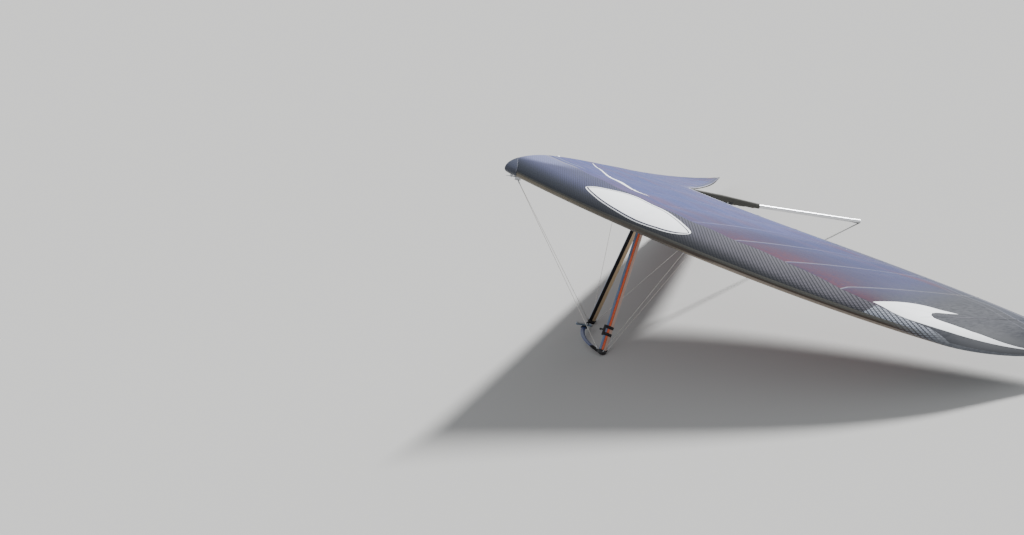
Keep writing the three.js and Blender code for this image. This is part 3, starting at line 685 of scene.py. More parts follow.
# Plain graphics, cut from white cloth and stuck to the top surface. Places are (y, chord share).
patches = {
    "lift": 0.0007, "thick": 0.0003, "lineInset": 0.0175, "lineHalf": 0.0052,
    "oval": {"ends": (1.179, 2.704), "middle": 0.094,
             "rise": [(-1, 0.105), (-0.9, 0.119), (-0.67, 0.138), (-0.34, 0.138), (0.08, 0.124),
                      (0.59, 0.102), (0.93, 0.072), (1, 0.068)],
             "fall": [(-1, 0.040), (-0.86, 0.046), (-0.54, 0.059), (-0.13, 0.067), (0.28, 0.078),
                      (0.61, 0.083), (0.89, 0.097), (1, 0.100)]},
    "flashLow": [(4.416, 0.157), (4.505, 0.142), (4.596, 0.122), (4.685, 0.114), (4.771, 0.121),
                 (4.872, 0.131), (4.969, 0.141), (5.057, 0.147), (5.133, 0.151), (5.248, 0.154)],
    "flashHigh": [(4.416, 0.157), (4.560, 0.250), (4.660, 0.310), (4.700, 0.336), (4.714, 0.312),
                  (4.738, 0.283), (4.769, 0.270), (4.814, 0.266), (4.887, 0.268), (4.980, 0.267),
                  (5.074, 0.257), (5.248, 0.180)],
    "prongLow": [(4.416, 0.157), (4.560, 0.250), (4.660, 0.310), (4.700, 0.336), (4.708, 0.372),
                 (4.728, 0.409), (4.754, 0.452), (4.776, 0.502)],
    "prongHigh": [(4.416, 0.157), (4.455, 0.217), (4.495, 0.281), (4.547, 0.350), (4.613, 0.404),
                  (4.681, 0.438), (4.735, 0.473), (4.776, 0.502)],
    "stripe": [(0.100, 0.437), (0.480, 0.378), (0.800, 0.341), (1.050, 0.323), (1.260, 0.314),
               (1.600, 0.306)],
    "stripeHalf": [(0.0, 0.002), (0.35, 0.005), (0.65, 0.011), (0.85, 0.006), (1.0, 0.0003)],
    "ovalGrid": (130, 33), "flashGrid": (150, 24), "stripeGrid": (280, 5),
}


# A smooth run through a few (y, chord share) places, at these shares of its length
def smoothRun(places, shares):
    places = np.asarray(places, float)
    reach = np.concatenate([[0], np.cumsum(np.linalg.norm(np.diff(places, axis=0), axis=1))])
    wanted = np.asarray(shares) * reach[-1]
    last = len(places) - 1
    out = []
    for w in wanted:
        i = min(last - 1, max(0, int(np.searchsorted(reach, w, side="right")) - 1))
        t = (w - reach[i]) / (reach[i + 1] - reach[i])
        a, b, c, d = (places[min(last, max(0, k))] for k in (i - 1, i, i + 1, i + 2))
        out.append(0.5 * (2 * b + (c - a) * t + (2 * a - 5 * b + 4 * c - d) * t * t
                          + (3 * b - a - 3 * c + d) * t ** 3))
    return np.array(out)


# The top of the cloth at span y; the batten line q that passes there is found step by step
def topCloth(y, s):
    q = np.array(y, float)
    for _ in range(14):
        q = y - fromTable(cloth["fan"], q) * np.maximum(0, s - cloth["fanStart"]) * chordAt(q)
    point = skinPoint(y, s, 1)
    point[..., 2] += clothLift(q, s, 1)
    return point


def whiteFinish():
    f = Finish("white_sailcloth", roughness=0.4, Specular_IOR_Level=0.3)
    inset = f.read("inset")
    grain = f.noise(f.place(), 240.0, 4.0, 0.6)
    cloudy = f.noise(f.place(), 6.0, 3.0, 0.6)
    colour = f.mix(grain, (0.80, 0.82, 0.84), (0.90, 0.91, 0.92))
    colour = f.mix(f.rise(cloudy, 0.4, 0.75) * 0.25, colour, (0.66, 0.68, 0.71))
    bold = patches["lineHalf"] * (1.35 - f.read("rear") * 0.9)
    pinstripe = f.line(inset, patches["lineInset"], bold, 0.0015)
    f.link("Base Color", f.mix(pinstripe, colour, (0.012, 0.012, 0.030)))
    f.link("Roughness", 0.34 + grain * 0.14)
    f.bump(grain, 0.0002, 0.5)
    return f


whiteCloth = whiteFinish()


# A patch over a grid of places. `inset` is how far in from its rim, `rear` runs from front to back.
def patchMesh(name, sign, y, s, inset, rear=0.5):
    nudge = 0.0005
    base = topCloth(y, s)
    spanwise = topCloth(y + nudge, s) - base
    chordwise = topCloth(y, s + nudge) - base
    normal = np.cross(spanwise, chordwise)
    normal /= np.maximum(1e-12, np.linalg.norm(normal, axis=-1, keepdims=True))
    normal *= np.where(normal[..., 2:] < 0, -1, 1)
    points = (base + normal * patches["lift"]).reshape(-1, 3)
    points[:, 1] *= sign
    values = {"inset": inset.ravel(), "rear": (np.zeros_like(y) + rear).ravel()}
    obj = newObject(name, points, gridFaces(*y.shape, around=False, flip=True), values)
    addModifier(obj, "SOLIDIFY", thickness=patches["thick"], offset=0.0)
    return finishPiece(obj, whiteCloth, "airframe")


# A grid of places between two edges
def between(low, high, across):
    w = np.linspace(0, 1, across)[None, :, None]
    grid = low[:, None, :] * (1 - w) + high[:, None, :] * w
    return grid[..., 0], grid[..., 1]


def makePatches(sideName, sign):
    oval = patches["oval"]
    long, wide = patches["ovalGrid"]
    x = -np.cos(np.linspace(0.02, math.pi - 0.02, long))
    y = np.mean(oval["ends"]) + x * (oval["ends"][1] - oval["ends"][0]) / 2
    bow = np.sqrt(1 - x ** 2)
    low = np.stack([y, oval["middle"] - bow * fromTable(oval["fall"], x)], -1)
    high = np.stack([y, oval["middle"] + bow * fromTable(oval["rise"], x)], -1)
    gridY, gridS = between(low, high, wide)
    # how far each point is in from the rim, along the cloth
    places = topCloth(gridY, gridS)
    border = np.concatenate([topCloth(edge[:, 0], edge[:, 1]) for edge in (low, high)])
    inset = np.linalg.norm(places[:, :, None, :] - border[None, None, :, :], axis=-1).min(axis=-1)
    patchMesh(f"sail_{sideName}_oval", sign, gridY, gridS, inset, np.linspace(0, 1, wide)[None, :])
    long, wide = patches["flashGrid"]
    shares = np.linspace(0, 1, long)
    for part in ("flash", "prong"):
        low, high = smoothRun(patches[part + "Low"], shares), smoothRun(patches[part + "High"], shares)
        gridY, gridS = between(low, high, wide)
        patchMesh(f"sail_{sideName}_{part}", sign, gridY, gridS, np.zeros_like(gridY))
    long, wide = patches["stripeGrid"]
    shares = np.linspace(0, 1, long)
    middle, half = smoothRun(patches["stripe"], shares), fromTable(patches["stripeHalf"], shares)
    low, high = middle.copy(), middle.copy()
    low[:, 1] -= half
    high[:, 1] += half
    gridY, gridS = between(low, high, wide)
    patchMesh(f"sail_{sideName}_stripe", sign, gridY, gridS, np.zeros_like(gridY))


for sideName, sign in sides:
    makePatches(sideName, sign)


# A small white button stands up from the top surface beside the middle seam
button = {"place": (0.031, 0.271), "radius": 0.013, "sunk": 0.001,
          "dome": [(0, 1.0), (0.002, 1.0), (0.005, 0.9), (0.008, 0.6), (0.010, 0.2)]}


def makeButtons():
    y, s = button["place"]
    dome = [(up, button["radius"] * share) for up, share in button["dome"]]
    for sideName, sign in sides:
        place = topCloth(np.array([y]), np.array([s]))[0]
        root = np.array([place[0], place[1] * sign, place[2] - button["sunk"]])
        points, faces = turnedBar(root, root + np.array([0, 0, dome[-1][0]]), dome, 28)
        values = {"inset": [1.0] * len(points), "rear": [0.5] * len(points)}
        obj = newObject(f"sail_{sideName}_button", points, faces, values)
        creaseByAngle(obj, 40)
        finishPiece(obj, whiteCloth, "airframe")


makeButtons()


# Batten ends at the trailing edge: a rod tip with a cord loop and a small plastic cleat
battenEnd = {"tipClear": 0.1, "below": 0.0035, "inside": 0.034, "outside": 0.007,
             "rod": [(0, 0.0028), (0.003, 0.0036), (0.034, 0.0036), (0.041, 0.0022)],
             "cleat": (0.016, 0.012, 0.0042), "cleatBack": 0.018, "cleatDown": 0.0028,
             "loopOut": 0.006, "loop": (0.0062, 0.0011)}


def makeBattenEnds(sideName, sign):
    shapes = []
    for q in cloth["battens"]:
        y = float(fanned(np.array(q), np.array(1.0)))
        if y > wing["semiSpan"] - battenEnd["tipClear"]:
            continue
        edge, ahead = trailingEdge(y), skinPoint(np.array(y), np.array(0.985), -1)
        edge[1] *= sign
        ahead[1] *= sign
        back = unit(edge - ahead)
        under = edge - np.array([0, 0, battenEnd["below"]])
        shapes.append(turnedBar(under - back * battenEnd["inside"], under + back * battenEnd["outside"],
                                battenEnd["rod"], 16))
        across = unit(np.cross(back, (0, 0, 1)))
        cleat = under - back * battenEnd["cleatBack"] - np.array([0, 0, battenEnd["cleatDown"]])
        shapes.append(boxShape(cleat, battenEnd["cleat"], (back, across, np.cross(back, across))))
        shapes.append(ringShape(under + back * battenEnd["loopOut"], (0, 0, 1), *battenEnd["loop"], 20))
    hardPiece(f"sail_{sideName}_batten_ends", joined(*shapes), blackNylon, bevel=0.0005)


# Nose cone: a fitted cap of the same cloth, strapped over the two leading edges
noseCap = {"back": 0.115, "lift": 0.0016, "thick": 0.0014, "half": 0.2355, "steps": 60, "around": 26}


def makeNoseCap():
    spans = np.linspace(-noseCap["half"], noseCap["half"], noseCap["steps"] + 1)
    points, seam, aft, height = [], [], [], []
    for y in spans:
        front, chord = float(leadingEdge(abs(y))[0]), float(chordAt(abs(y)))
        reach = max(0.0015, (front + noseCap["back"]) / chord)
        shares = reach * (1 - np.cos(np.linspace(0, math.pi / 2, noseCap["around"])))
        top = skinPoint(np.full_like(shares, y), shares, 1)
        low = skinPoint(np.full_like(shares, y), shares, -1)
        ring = np.concatenate([top[::-1], low[1:]])
        middle = np.array([front - reach * chord * 0.6, y, float(low[-1][2] + top[-1][2]) / 2])
        away = ring - middle
        away[:, 1] = 0
        points += list(ring + noseCap["lift"] * away / np.linalg.norm(away, axis=1)[:, None])
        seam += list(ring[:, 0] + noseCap["back"])
        aft += list(-ring[:, 0])
        height += list(ring[:, 2] - ring[:, 2].min())
    faces = gridFaces(len(spans), 2 * noseCap["around"] - 1, around=False, flip=True)
    values = {"toSeam": seam, "spanOut": [p[1] for p in points], "aft": aft, "height": height}
    obj = newObject("nose_cone_cloth", points, faces, values)
    addModifier(obj, "SOLIDIFY", thickness=noseCap["thick"], offset=0.0)
    f = Finish("nose_cone_cloth", roughness=0.42, Specular_IOR_Level=0.18)
    span, back, toSeam = f.read("spanOut"), f.read("aft"), f.read("toSeam")
    grain = f.noise(f.place(), 180.0, 4.0, 0.7)
    threadA = f.away(f.fract((span + back) * 90.0) - 0.5)
    threadB = f.away(f.fract((span - back) * 90.0) - 0.5)
    thread = f.larger(f.rise(threadA, 0.38, 0.47), f.rise(threadB, 0.38, 0.47))
    height = f.read("height")
    # painted shade: the cap is darker low down and paler towards its top
    shade = f.mix(f.rise(height, 0.035, 0.085), (0.019, 0.022, 0.034), (0.039, 0.046, 0.075))
    colour = f.mix(grain * 0.5, shade, (0.056, 0.062, 0.088))
    colour = f.mix(thread * 0.5, colour, (0.010, 0.013, 0.019))
    edge = f.line(toSeam, 0.006, 0.0010, 0.0010)
    tick = edge * f.line(height, 0.050, 0.012, 0.006)
    colour = f.mix(edge * 0.03, colour, (0.225, 0.225, 0.250))
    f.link("Base Color", f.mix(tick * 0.6, colour, (0.250, 0.250, 0.275)))
    f.bump(thread * 0.5 + edge * 0.2 + grain * 0.4, 0.0005, 0.7)
    return finishPiece(obj, f, "airframe", ["nose_cone"])


makeNoseCap()

# Keel pocket: a cloth sleeve hung from the sail and drawn round the keel, with seams and soft folds
pocket = {"start": -1.712, "end": -2.520, "wrap": 0.0245, "sections": [
    (-1.712, 0.012, 0.068), (-1.812, 0.012, 0.072), (-2.150, 0.012, 0.056), (-2.520, 0.014, 0.024)],
    "steps": 110, "around": 20, "thick": 0.0012, "catchAt": -2.230, "catchHalf": 0.026, "openFrom": 4}


def makePocket():
    xs = np.linspace(pocket["start"], pocket["end"], pocket["steps"])
    table = sorted(pocket["sections"])
    where, wrap = [a for a, _, _ in table], pocket["wrap"]
    points, faces, down = [], [], []
    for x in xs:
        half = np.interp(x, where, [b for _, b, _ in table])
        top = np.interp(x, where, [c for _, _, c in table])
        ruck = 0.0016 * math.sin(x * 61) + 0.0010 * math.sin(x * 143 + 1)
        angles = np.linspace(0, math.pi, pocket["around"])
        ring = [(-half * 0.8, top)]
        ring += [(-half - (wrap - half) * t, top * (1 - t)) for t in (0.25, 0.5, 0.75)]
        ring += [(-(wrap + ruck * math.sin(a)) * math.cos(a), -(wrap + ruck) * math.sin(a))
                 for a in angles]
        ring += [(half + (wrap - half) * t, top * (1 - t)) for t in (0.75, 0.5, 0.25)]
        ring += [(half * 0.8, top)]
        points += [np.array([x, y, z]) for y, z in ring]
        down += [top - z for _, z in ring]
        size = len(ring)
    # the cloth is cut away under the keel where the catch of the rear stays comes through
    for i in range(pocket["steps"] - 1):
        cut = abs((xs[i] + xs[i + 1]) / 2 - pocket["catchAt"]) < pocket["catchHalf"]
        for j in range(size):
            if cut and pocket["openFrom"] <= j < size - 1 - pocket["openFrom"]:
                continue
            k = (j + 1) % size
            faces.append((i * size + j, i * size + k, (i + 1) * size + k, (i + 1) * size + j))
    obj = newObject("keel_pocket_cloth", points, faces, {"down": down, "back": [-p[0] for p in points]})
    addModifier(obj, "SOLIDIFY", thickness=pocket["thick"], offset=0.0)
    f = Finish("pocket_cloth", roughness=0.78, Specular_IOR_Level=0.3, Sheen_Weight=0.15,
               Sheen_Roughness=0.5)
    down, back = f.read("down"), f.read("back")
    weave = f.node("ShaderNodeTexWave", {"wave_type": "BANDS", "bands_direction": "X"},
                   {"Vector": f.place(), "Scale": 420.0, "Distortion": 0.4}, "Fac")
    across = f.node("ShaderNodeTexWave", {"wave_type": "BANDS", "bands_direction": "Z"},
                    {"Vector": f.place(), "Scale": 420.0, "Distortion": 0.4}, "Fac")
    folds = f.noise(f.place(), 14.0, 3.0, 0.6)
    dust = f.noise(f.place(), 45.0, 5.0, 0.7)
    colour = f.mix(folds, (0.050, 0.049, 0.042), (0.076, 0.074, 0.066))
    colour = f.mix(f.rise(dust, 0.50, 0.80) * 0.3, colour, (0.094, 0.091, 0.083))
    stitch = f.line(down, 0.016, 0.0010, 0.0012) * f.rise(f.fract(back * 220.0), 0.30, 0.40)
    f.link("Base Color", f.mix(stitch * 0.6, colour, (0.088, 0.088, 0.084)))
    f.link("Roughness", 0.70 + weave * 0.15)
    f.bump(weave * 0.25 + across * 0.25 + folds * 1.2 + stitch, 0.0006, 0.6)
    return finishPiece(obj, f, "airframe", ["keel_pocket"])


makePocket()
print("nose cone and keel pocket made")


# Finishes for hard pieces
def metalFinish(name, colour, roughness, brushed=0.0, wear=0.15):
    f = Finish(name, roughness=roughness, metallic=1.0)
    smear = f.noise(f.place(), 9.0, 4.0, 0.6)
    grain = f.noise(f.place(), 260.0, 2.0, 0.5)
    dark = tuple(c * (1 - wear * 2) for c in colour)
    f.link("Base Color", f.mix(f.rise(smear, 0.3, 0.8) * wear * 2.0, colour, dark))
    f.link("Roughness", roughness + smear * 0.14 + grain * brushed)
    f.bump(grain, 0.0001, 0.25)
    return f


def plasticFinish(name, colour, roughness=0.5, dusty=0.2):
    f = Finish(name, roughness=roughness)
    grain = f.noise(f.place(), 520.0, 3.0, 0.6)
    dust = f.noise(f.place(), 24.0, 5.0, 0.65)
    paler = tuple(min(1.0, c * 2.2 + 0.03) for c in colour)
    f.link("Base Color", f.mix(f.rise(dust, 0.48, 0.78) * dusty, colour, paler))
    f.link("Roughness", roughness + grain * 0.2 - 0.1)
    f.bump(grain, 0.0002, 0.5)
    return f


silver = metalFinish("clear_anodised", (0.72, 0.73, 0.75), 0.28)
bracketMetal = metalFinish("milled_alloy", (0.55, 0.56, 0.58), 0.34, 0.1)
darkMetal = metalFinish("black_anodised", (0.060, 0.062, 0.066), 0.36, 0.1)
steel = metalFinish("stainless", (0.60, 0.60, 0.61), 0.25, 0.1)
blackNylon = plasticFinish("black_nylon", (0.016, 0.017, 0.019), 0.5)
softBlack = plasticFinish("black_rubber", (0.012, 0.012, 0.013), 0.75, 0.3)


def wireFinish():
    # seven-by-seven strand: fine twisted ridges along the wire, with painted shade darkening the grooves
    # between strands
    f = Finish("rigging_wire", roughness=0.38, metallic=1.0)
    turn, back = f.read("around"), f.read("along")
    strand = f.away(f.fract(turn * 7.0 + back * 120.0) - 0.5)
    f.link("Base Color", f.mix(f.rise(strand, 0.15, 0.4), (0.78, 0.75, 0.70), (0.42, 0.40, 0.37)))
    f.bump(strand, 0.0003, 0.8)
    return f


wireSteel = wireFinish()
for sideName, sign in sides:
    makeBattenEnds(sideName, sign)

# Keel: two telescoping tubes with a lock button where the smaller one leaves the larger
keel = {"radius": 0.021, "front": -0.030, "joint": -2.520, "tailRadius": 0.019, "tailEnd": -3.493,
        "overlap": 0.160, "wall": 0.0017, "play": 0.0003, "buttonBack": 0.018,
        "button": (0.007, 0.002, 0.005)}


def makeKeel():
    front = hollowBar((keel["front"], 0, 0), (keel["joint"], 0, 0), keel["radius"],
                      keel["tailRadius"] + keel["play"])
    hardPiece("keel_front_tube", front, silver, ["keel_tube"], bevel=0)
    tail = hollowBar((keel["joint"] + keel["overlap"], 0, 0), (keel["tailEnd"], 0, 0), keel["tailRadius"],
                     keel["tailRadius"] - keel["wall"])
    hardPiece("keel_tail_silver_tube", tail, silver, ["keel_tail_tube"], bevel=0)
    lockAt = (keel["joint"] - keel["buttonBack"], 0, keel["tailRadius"])
    lock = hexBolt(lockAt, (0, 0, 1), *keel["button"])
    hardPiece("keel_lock_button", lock, steel, bevel=0.0004)
    # the tail cap stands on the floor with a small flat: it stays the solid, with the tube's finish
    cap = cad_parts["keel_tail_cap"]
    cap.data.materials.clear()
    cap.data.materials.append(silver.material)
    cap.data.shade_smooth()
    creaseByAngle(cap, 40)


makeKeel()

# Control frame: apex and corners, streamlined downtubes and a bowed base bar
controls = {
    "apex": (-1.446, 0.044, -0.086), "corner": (-1.149, 0.713, -1.519), "topFitting": 0.070,
    "cornerFitting": 0.024, "chord": 0.070, "thick": 0.028, "barForward": 0.020, "barUp": -0.004,
    "barBow": 0.114, "barChord": 0.045, "barThick": 0.021, "socketInset": 0.024,
}


def apexPoint(sign):
    x, y, z = controls["apex"]
    return np.array([x, sign * y, z])


def cornerPoint(sign):
    x, y, z = controls["corner"]
    return np.array([x, sign * y, z])


# Outline of the streamlined tube, from the same curves as the solid: (chordwise, sideways)
def teardrop(chord, thick, steps=10):
    r, nose, back = thick / 2, chord * 0.36, -chord / 2
    curves = [
        [(nose - r * 0.2, -r), (nose + r * 1.1, -r), (chord / 2, -r * 0.55), (chord / 2, 0)],
        [(chord / 2, 0), (chord / 2, r * 0.55), (nose + r * 1.1, r), (nose - r * 0.2, r)],
        [(nose - r * 0.2, r), (0, r), (-chord * 0.3, r * 0.55), (back, 0.002)],
        [(back, 0.002), (back - 0.0007, 0.001), (back - 0.0007, -0.001), (back, -0.002)],
        [(back, -0.002), (-chord * 0.3, -r * 0.55), (0, -r), (nose - r * 0.2, -r)],
    ]
    outline = []
    for a, b, c, d in (np.array(curve, float) for curve in curves):
        for t in np.linspace(0, 1, steps, endpoint=False):
            outline.append(a * (1 - t) ** 3 + 3 * b * t * (1 - t) ** 2
                           + 3 * c * t * t * (1 - t) + d * t ** 3)
    return np.array(outline)


# A tube's own axes: forward across it, sideways across it, and along it
def tubeAxes(start, end):
    z = unit(np.asarray(end) - np.asarray(start))
    y = unit(np.cross(z, (1, 0, 0)))
    return np.cross(y, z), y, z


# A streamlined bar: stops are (distance from the start, grown by this much)
def streamBar(start, end, chord, thick, stops):
    x, y, z = tubeAxes(start, end)
    points, across, side = [], [], []
    for distance, grow in stops:
        outline = teardrop(chord + 2 * grow, thick + 2 * grow)
        for a, b in outline:
            points.append(np.asarray(start) + z * distance + x * a + y * b)
            across.append(0.5 - a / chord)
            side.append(b)
    faces = gridFaces(len(stops), len(outline), capped=True)
    return (points, faces), {"across": across, "sideways": side}


def downtubeFinish():
    # outside: silver nose with a painted blue sky reflection, dark line, orange-red stripe, thin line,
    # pale tan tail; inside: black and tan, a painted shade
    f = Finish("striped_downtube", roughness=0.35, Specular_IOR_Level=0.25, Coat_Weight=0.10,
               Coat_Roughness=0.2)
    across = f.read("across")
    smear = f.noise(f.place(), 7.0, 4.0, 0.6)
    grain = f.noise(f.place(), 300.0, 2.0, 0.5)
    silverAndSkyBlue = f.mix(smear, (0.128, 0.190, 0.310), (0.198, 0.262, 0.385))
    orange = f.mix(smear, (0.640, 0.118, 0.048), (0.790, 0.172, 0.078))
    tan = f.mix(smear, (0.440, 0.300, 0.250), (0.540, 0.395, 0.335))
    dark = (0.009, 0.009, 0.011)
    colour = f.mix(f.rise(across, 0.278, 0.284), silverAndSkyBlue, dark)
    colour = f.mix(f.rise(across, 0.304, 0.310), colour, orange)
    colour = f.mix(f.rise(across, 0.596, 0.602), colour, dark)
    colour = f.mix(f.rise(across, 0.628, 0.634), colour, tan)
    # painted shade: the inside faces turn away from the light and are coloured black and tan instead of
    # striped
    inner = f.mix(f.rise(across, 0.470, 0.490), dark, (0.470, 0.350, 0.225))
    colour = f.mix(f.read("inside"), colour, inner)
    scuff = f.rise(f.noise(f.place(), 60.0, 5.0, 0.7), 0.62, 0.8) * 0.3
    f.link("Base Color", f.mix(scuff, colour, (0.263, 0.250, 0.237)))
    f.link("Roughness", 0.24 + smear * 0.2 + grain * 0.05)
    f.bump(grain, 0.0001, 0.3)
    return f


stripedTube = downtubeFinish()


# Fork end: a plug that stands in the tube and is waisted below the apex bolt
fork = {"chordLess": 0.014, "thickLess": 0.004, "rim": 0.0006, "bolt": (0.010, 0.006, 0.0085),
        "boltDown": 0.030, "boltOut": 0.0135}


def makeDowntubes():
    for sideName, sign in sides:
        top, foot = apexPoint(sign), cornerPoint(sign)
        length = float(np.linalg.norm(foot - top))
        first, last = controls["topFitting"], length - controls["cornerFitting"]
        rim = fork["rim"]
        stops = [(first, -rim), (first + rim, 0)]
        stops += [(d, 0) for d in np.linspace(first + 0.01, last - 0.01, 24)]
        stops += [(last - rim, 0), (last, -rim)]
        shape, values = streamBar(top, foot, controls["chord"], controls["thick"], stops)
        # the section's sideways axis points the same way on both tubes, so the inside changes sign
        values["inside"] = [1.0 if b * sign * inwardSign > 0.0 else 0.0 for b in values["sideways"]]
        obj = newObject(f"downtube_{sideName}_tube", *shape, values)
        creaseByAngle(obj, 50)
        finishPiece(obj, stripedTube, "airframe", [f"downtube_{sideName}"])
        stops = [(-0.018, -0.002), (-0.016, 0), (0.052, 0), (0.054, 0.0015), (first - 0.0003, 0.0015)]
        plug, _ = streamBar(top, foot, controls["chord"] - fork["chordLess"],
                            controls["thick"] - fork["thickLess"], stops)
        _, y, z = tubeAxes(top, foot)
        outward = y * sign * -inwardSign
        bolt = hexBolt(top + z * fork["boltDown"] + outward * fork["boltOut"], outward, *fork["bolt"])
        hardPiece(f"downtube_top_{sideName}_plug", joined(plug, bolt), blackNylon,
                  [f"downtube_top_{sideName}"], bevel=0.0008)


inwardSign = 1 if tubeAxes(apexPoint(1), cornerPoint(1))[1][1] < 0 else -1
makeDowntubes()


barReach = controls["corner"][1] - controls["socketInset"]


# A place on the bar's centreline, from 1 at the left socket to -1 at the right one
def barPlace(share):
    x = controls["corner"][0] + controls["barForward"] + controls["barBow"] * (1 - share ** 2)
    return np.array([x, share * barReach, controls["corner"][2] + controls["barUp"]])


def barPath(steps):
    return np.stack([barPlace(share) for share in np.linspace(1, -1, steps)])


# The bar's oval section, level, grown by a little on every side
def barOval(grow, steps=40):
    turn = np.linspace(0, 2 * math.pi, steps, endpoint=False)
    return np.stack([(controls["barChord"] / 2 + grow) * np.cos(turn),
                     (controls["barThick"] / 2 + grow) * np.sin(turn)], -1)


grip = {"from": 0.70, "to": 0.985, "grow": 0.0014}


def makeBaseBar():
    count, steps = 121, 40
    path, shares = barPath(count), np.linspace(-1, 1, count)
    grown = [grip["grow"] if grip["from"] < abs(share) < grip["to"] else 0.0 for share in shares]
    points, faces = sweepRings(path, [barOval(g, steps) for g in grown])
    obj = newObject("base_bar_carbon", points, faces, {"run": np.repeat(shares, steps)})
    creaseByAngle(obj, 50)
    f = Finish("carbon_bar", roughness=0.4, Specular_IOR_Level=0.12, Coat_Roughness=0.12)
    run, place = f.read("run"), f.place()
    twill = f.node("ShaderNodeTexChecker", {}, {"Vector": place, "Scale": 260.0}, 1)
    # the navy weave is partly the carbon's own colour and partly a painted blue sky sheen
    weave = f.mix(twill, (0.015, 0.032, 0.115), (0.025, 0.046, 0.150))
    gripMask = f.rise(f.away(run), grip["from"] - 0.003, grip["from"] + 0.003)
    ribs = f.away(f.fract(run * 110.0) - 0.5)
    colour = f.mix(gripMask, weave, (0.005, 0.005, 0.006))
    dust = f.rise(f.noise(place, 30.0, 5.0, 0.7), 0.55, 0.8) * 0.3
    f.link("Base Color", f.mix(dust, colour, (0.053, 0.053, 0.053)))
    f.link("Roughness", 0.36 + gripMask * 0.40)
    f.link("Coat Weight", 0.06 - gripMask * 0.06)
    f.bump(ribs * gripMask + twill * 0.1, 0.0006, 0.7)
    finishPiece(obj, f, "airframe", ["base_bar"])


makeBaseBar()
print("keel and control frame made")


# Overlapping shapes melted into one skin
def moulded(name, shapes, finish, stands):
    obj = newObject(name, *joined(*shapes))
    addModifier(obj, "REMESH", mode="VOXEL", voxel_size=cornerShape["voxel"], use_smooth_shade=True)
    addModifier(obj, "CORRECTIVE_SMOOTH", iterations=cornerShape["smoothing"], use_only_smooth=True)
    addModifier(obj, "DECIMATE", ratio=cornerShape["kept"])
    return finishPiece(obj, finish, "airframe", stands)


def ellipsoid(centre, axes, radii, rings=16, steps=28):
    axes = np.asarray(axes, float)
    points = []
    for i in range(1, rings):
        polar = math.pi * i / rings
        for j in range(steps):
            turn = 2 * math.pi * j / steps
            local = np.array([math.sin(polar) * math.cos(turn), math.sin(polar) * math.sin(turn),
                              math.cos(polar)]) * np.array(radii)
            points.append(np.asarray(centre) + local @ axes)
    faces = gridFaces(rings - 1, steps)
    top, low = len(points), len(points) + 1
    points += [np.asarray(centre) + np.array([0, 0, radii[2]]) @ axes,
               np.asarray(centre) - np.array([0, 0, radii[2]]) @ axes]
    faces += [(top, j, (j + 1) % steps) for j in range(steps)]
    last = (rings - 2) * steps
    faces += [(low, last + (j + 1) % steps, last + j) for j in range(steps)]
    return points, faces


# Stays: where they end, then what each is made of, measured from the end of its run
rigging = {
    "noseCatch": (-0.140, 0.016, -0.092), "rearCatch": (-2.230, 0.016, -0.044), "tangSpan": 2.710,
    "tangShare": 0.080, "noseLug": (0.020, 0, -0.010), "sideLug": (0, 0.006, -0.006),
    "rearLug": (-0.026, 0, -0.012), "lowLug": 0.046, "farLug": 0.030, "strandIn": 0.012,
    "wireRadius": 0.0019, "wireSteps": 12, "eyeIn": 0.006, "eye": (0.0062, 0.0016),
    "sleeveIn": 0.014, "sleeveRadius": 0.0036,
    "sleeve": [(0, 0.9), (0.002, 1.0), (0.018, 1.0), (0.020, 0.7)],
}


# The two ends of the stays on one side: the lower one at the corner, then the far one
def stayEnds(sign):
    corner = cornerPoint(sign)
    mirror = np.array([1, sign, 1])
    tang = skinPoint(np.array(sign * rigging["tangSpan"]), np.array(rigging["tangShare"]), -1)
    return {
        "nose": (corner + rigging["noseLug"], np.array(rigging["noseCatch"]) * mirror),
        "side": (corner + np.array(rigging["sideLug"]) * mirror, tang),
        "rear": (corner + rigging["rearLug"], np.array(rigging["rearCatch"]) * mirror),
    }


# Corner fittings: an ellipsoid, the downtube's plug, the bar's socket and three lugs, with flat feet
cornerShape = {"radii": (0.042, 0.020, 0.024), "plugGrow": 0.002, "socket": 0.026, "floor": 0.0006,
               "lugLong": 0.045, "lug": [(0, 0.006), (0.030, 0.0052), (0.045, 0.0045)],
               "bolt": (0.009, 0.004, 0.007), "boltUp": 0.012, "boltOut": 0.0162,
               "voxel": 0.0012, "smoothing": 4, "kept": 0.35}


def makeCorners():
    for sideName, sign in sides:
        centre, top = cornerPoint(sign), apexPoint(sign)
        x, y, z = tubeAxes(centre, top)
        shapes = [ellipsoid(centre, (x, y, z), cornerShape["radii"])]
        grow = cornerShape["plugGrow"]
        plug, _ = streamBar(centre, top, controls["chord"], controls["thick"],
                            [(0, grow), (controls["cornerFitting"] - 0.001, grow)])
        shapes.append(plug)
        path = barPath(81)
        end, second = (path[0], path[1]) if sign > 0 else (path[-1], path[-2])
        outward = unit(end - second)
        socket = [end + outward * d for d in (0.0003, 0.003, 0.023, cornerShape["socket"])]
        shapes.append(sweepRings(socket, [barOval(g) for g in (0.0010, 0.0022, 0.0022, 0.0010)]))
        for root, far in stayEnds(sign).values():
            lugEnd = root + unit(far - root) * cornerShape["lugLong"]
            shapes.append(turnedBar(root, lugEnd, cornerShape["lug"], 16))
        obj = moulded(f"corner_{sideName}_moulding", shapes, blackNylon,
                      [f"corner_{sideName}"])
        for vertex in obj.data.vertices:
            vertex.co.z = max(vertex.co.z, cornerShape["floor"])
        bolts = [hexBolt(centre + z * cornerShape["boltUp"] + y * k * cornerShape["boltOut"], y * k,
                         *cornerShape["bolt"]) for k in (1, -1)]
        hardPiece(f"corner_{sideName}_bolts", joined(*bolts), darkMetal, bevel=0.0004)


makeCorners()


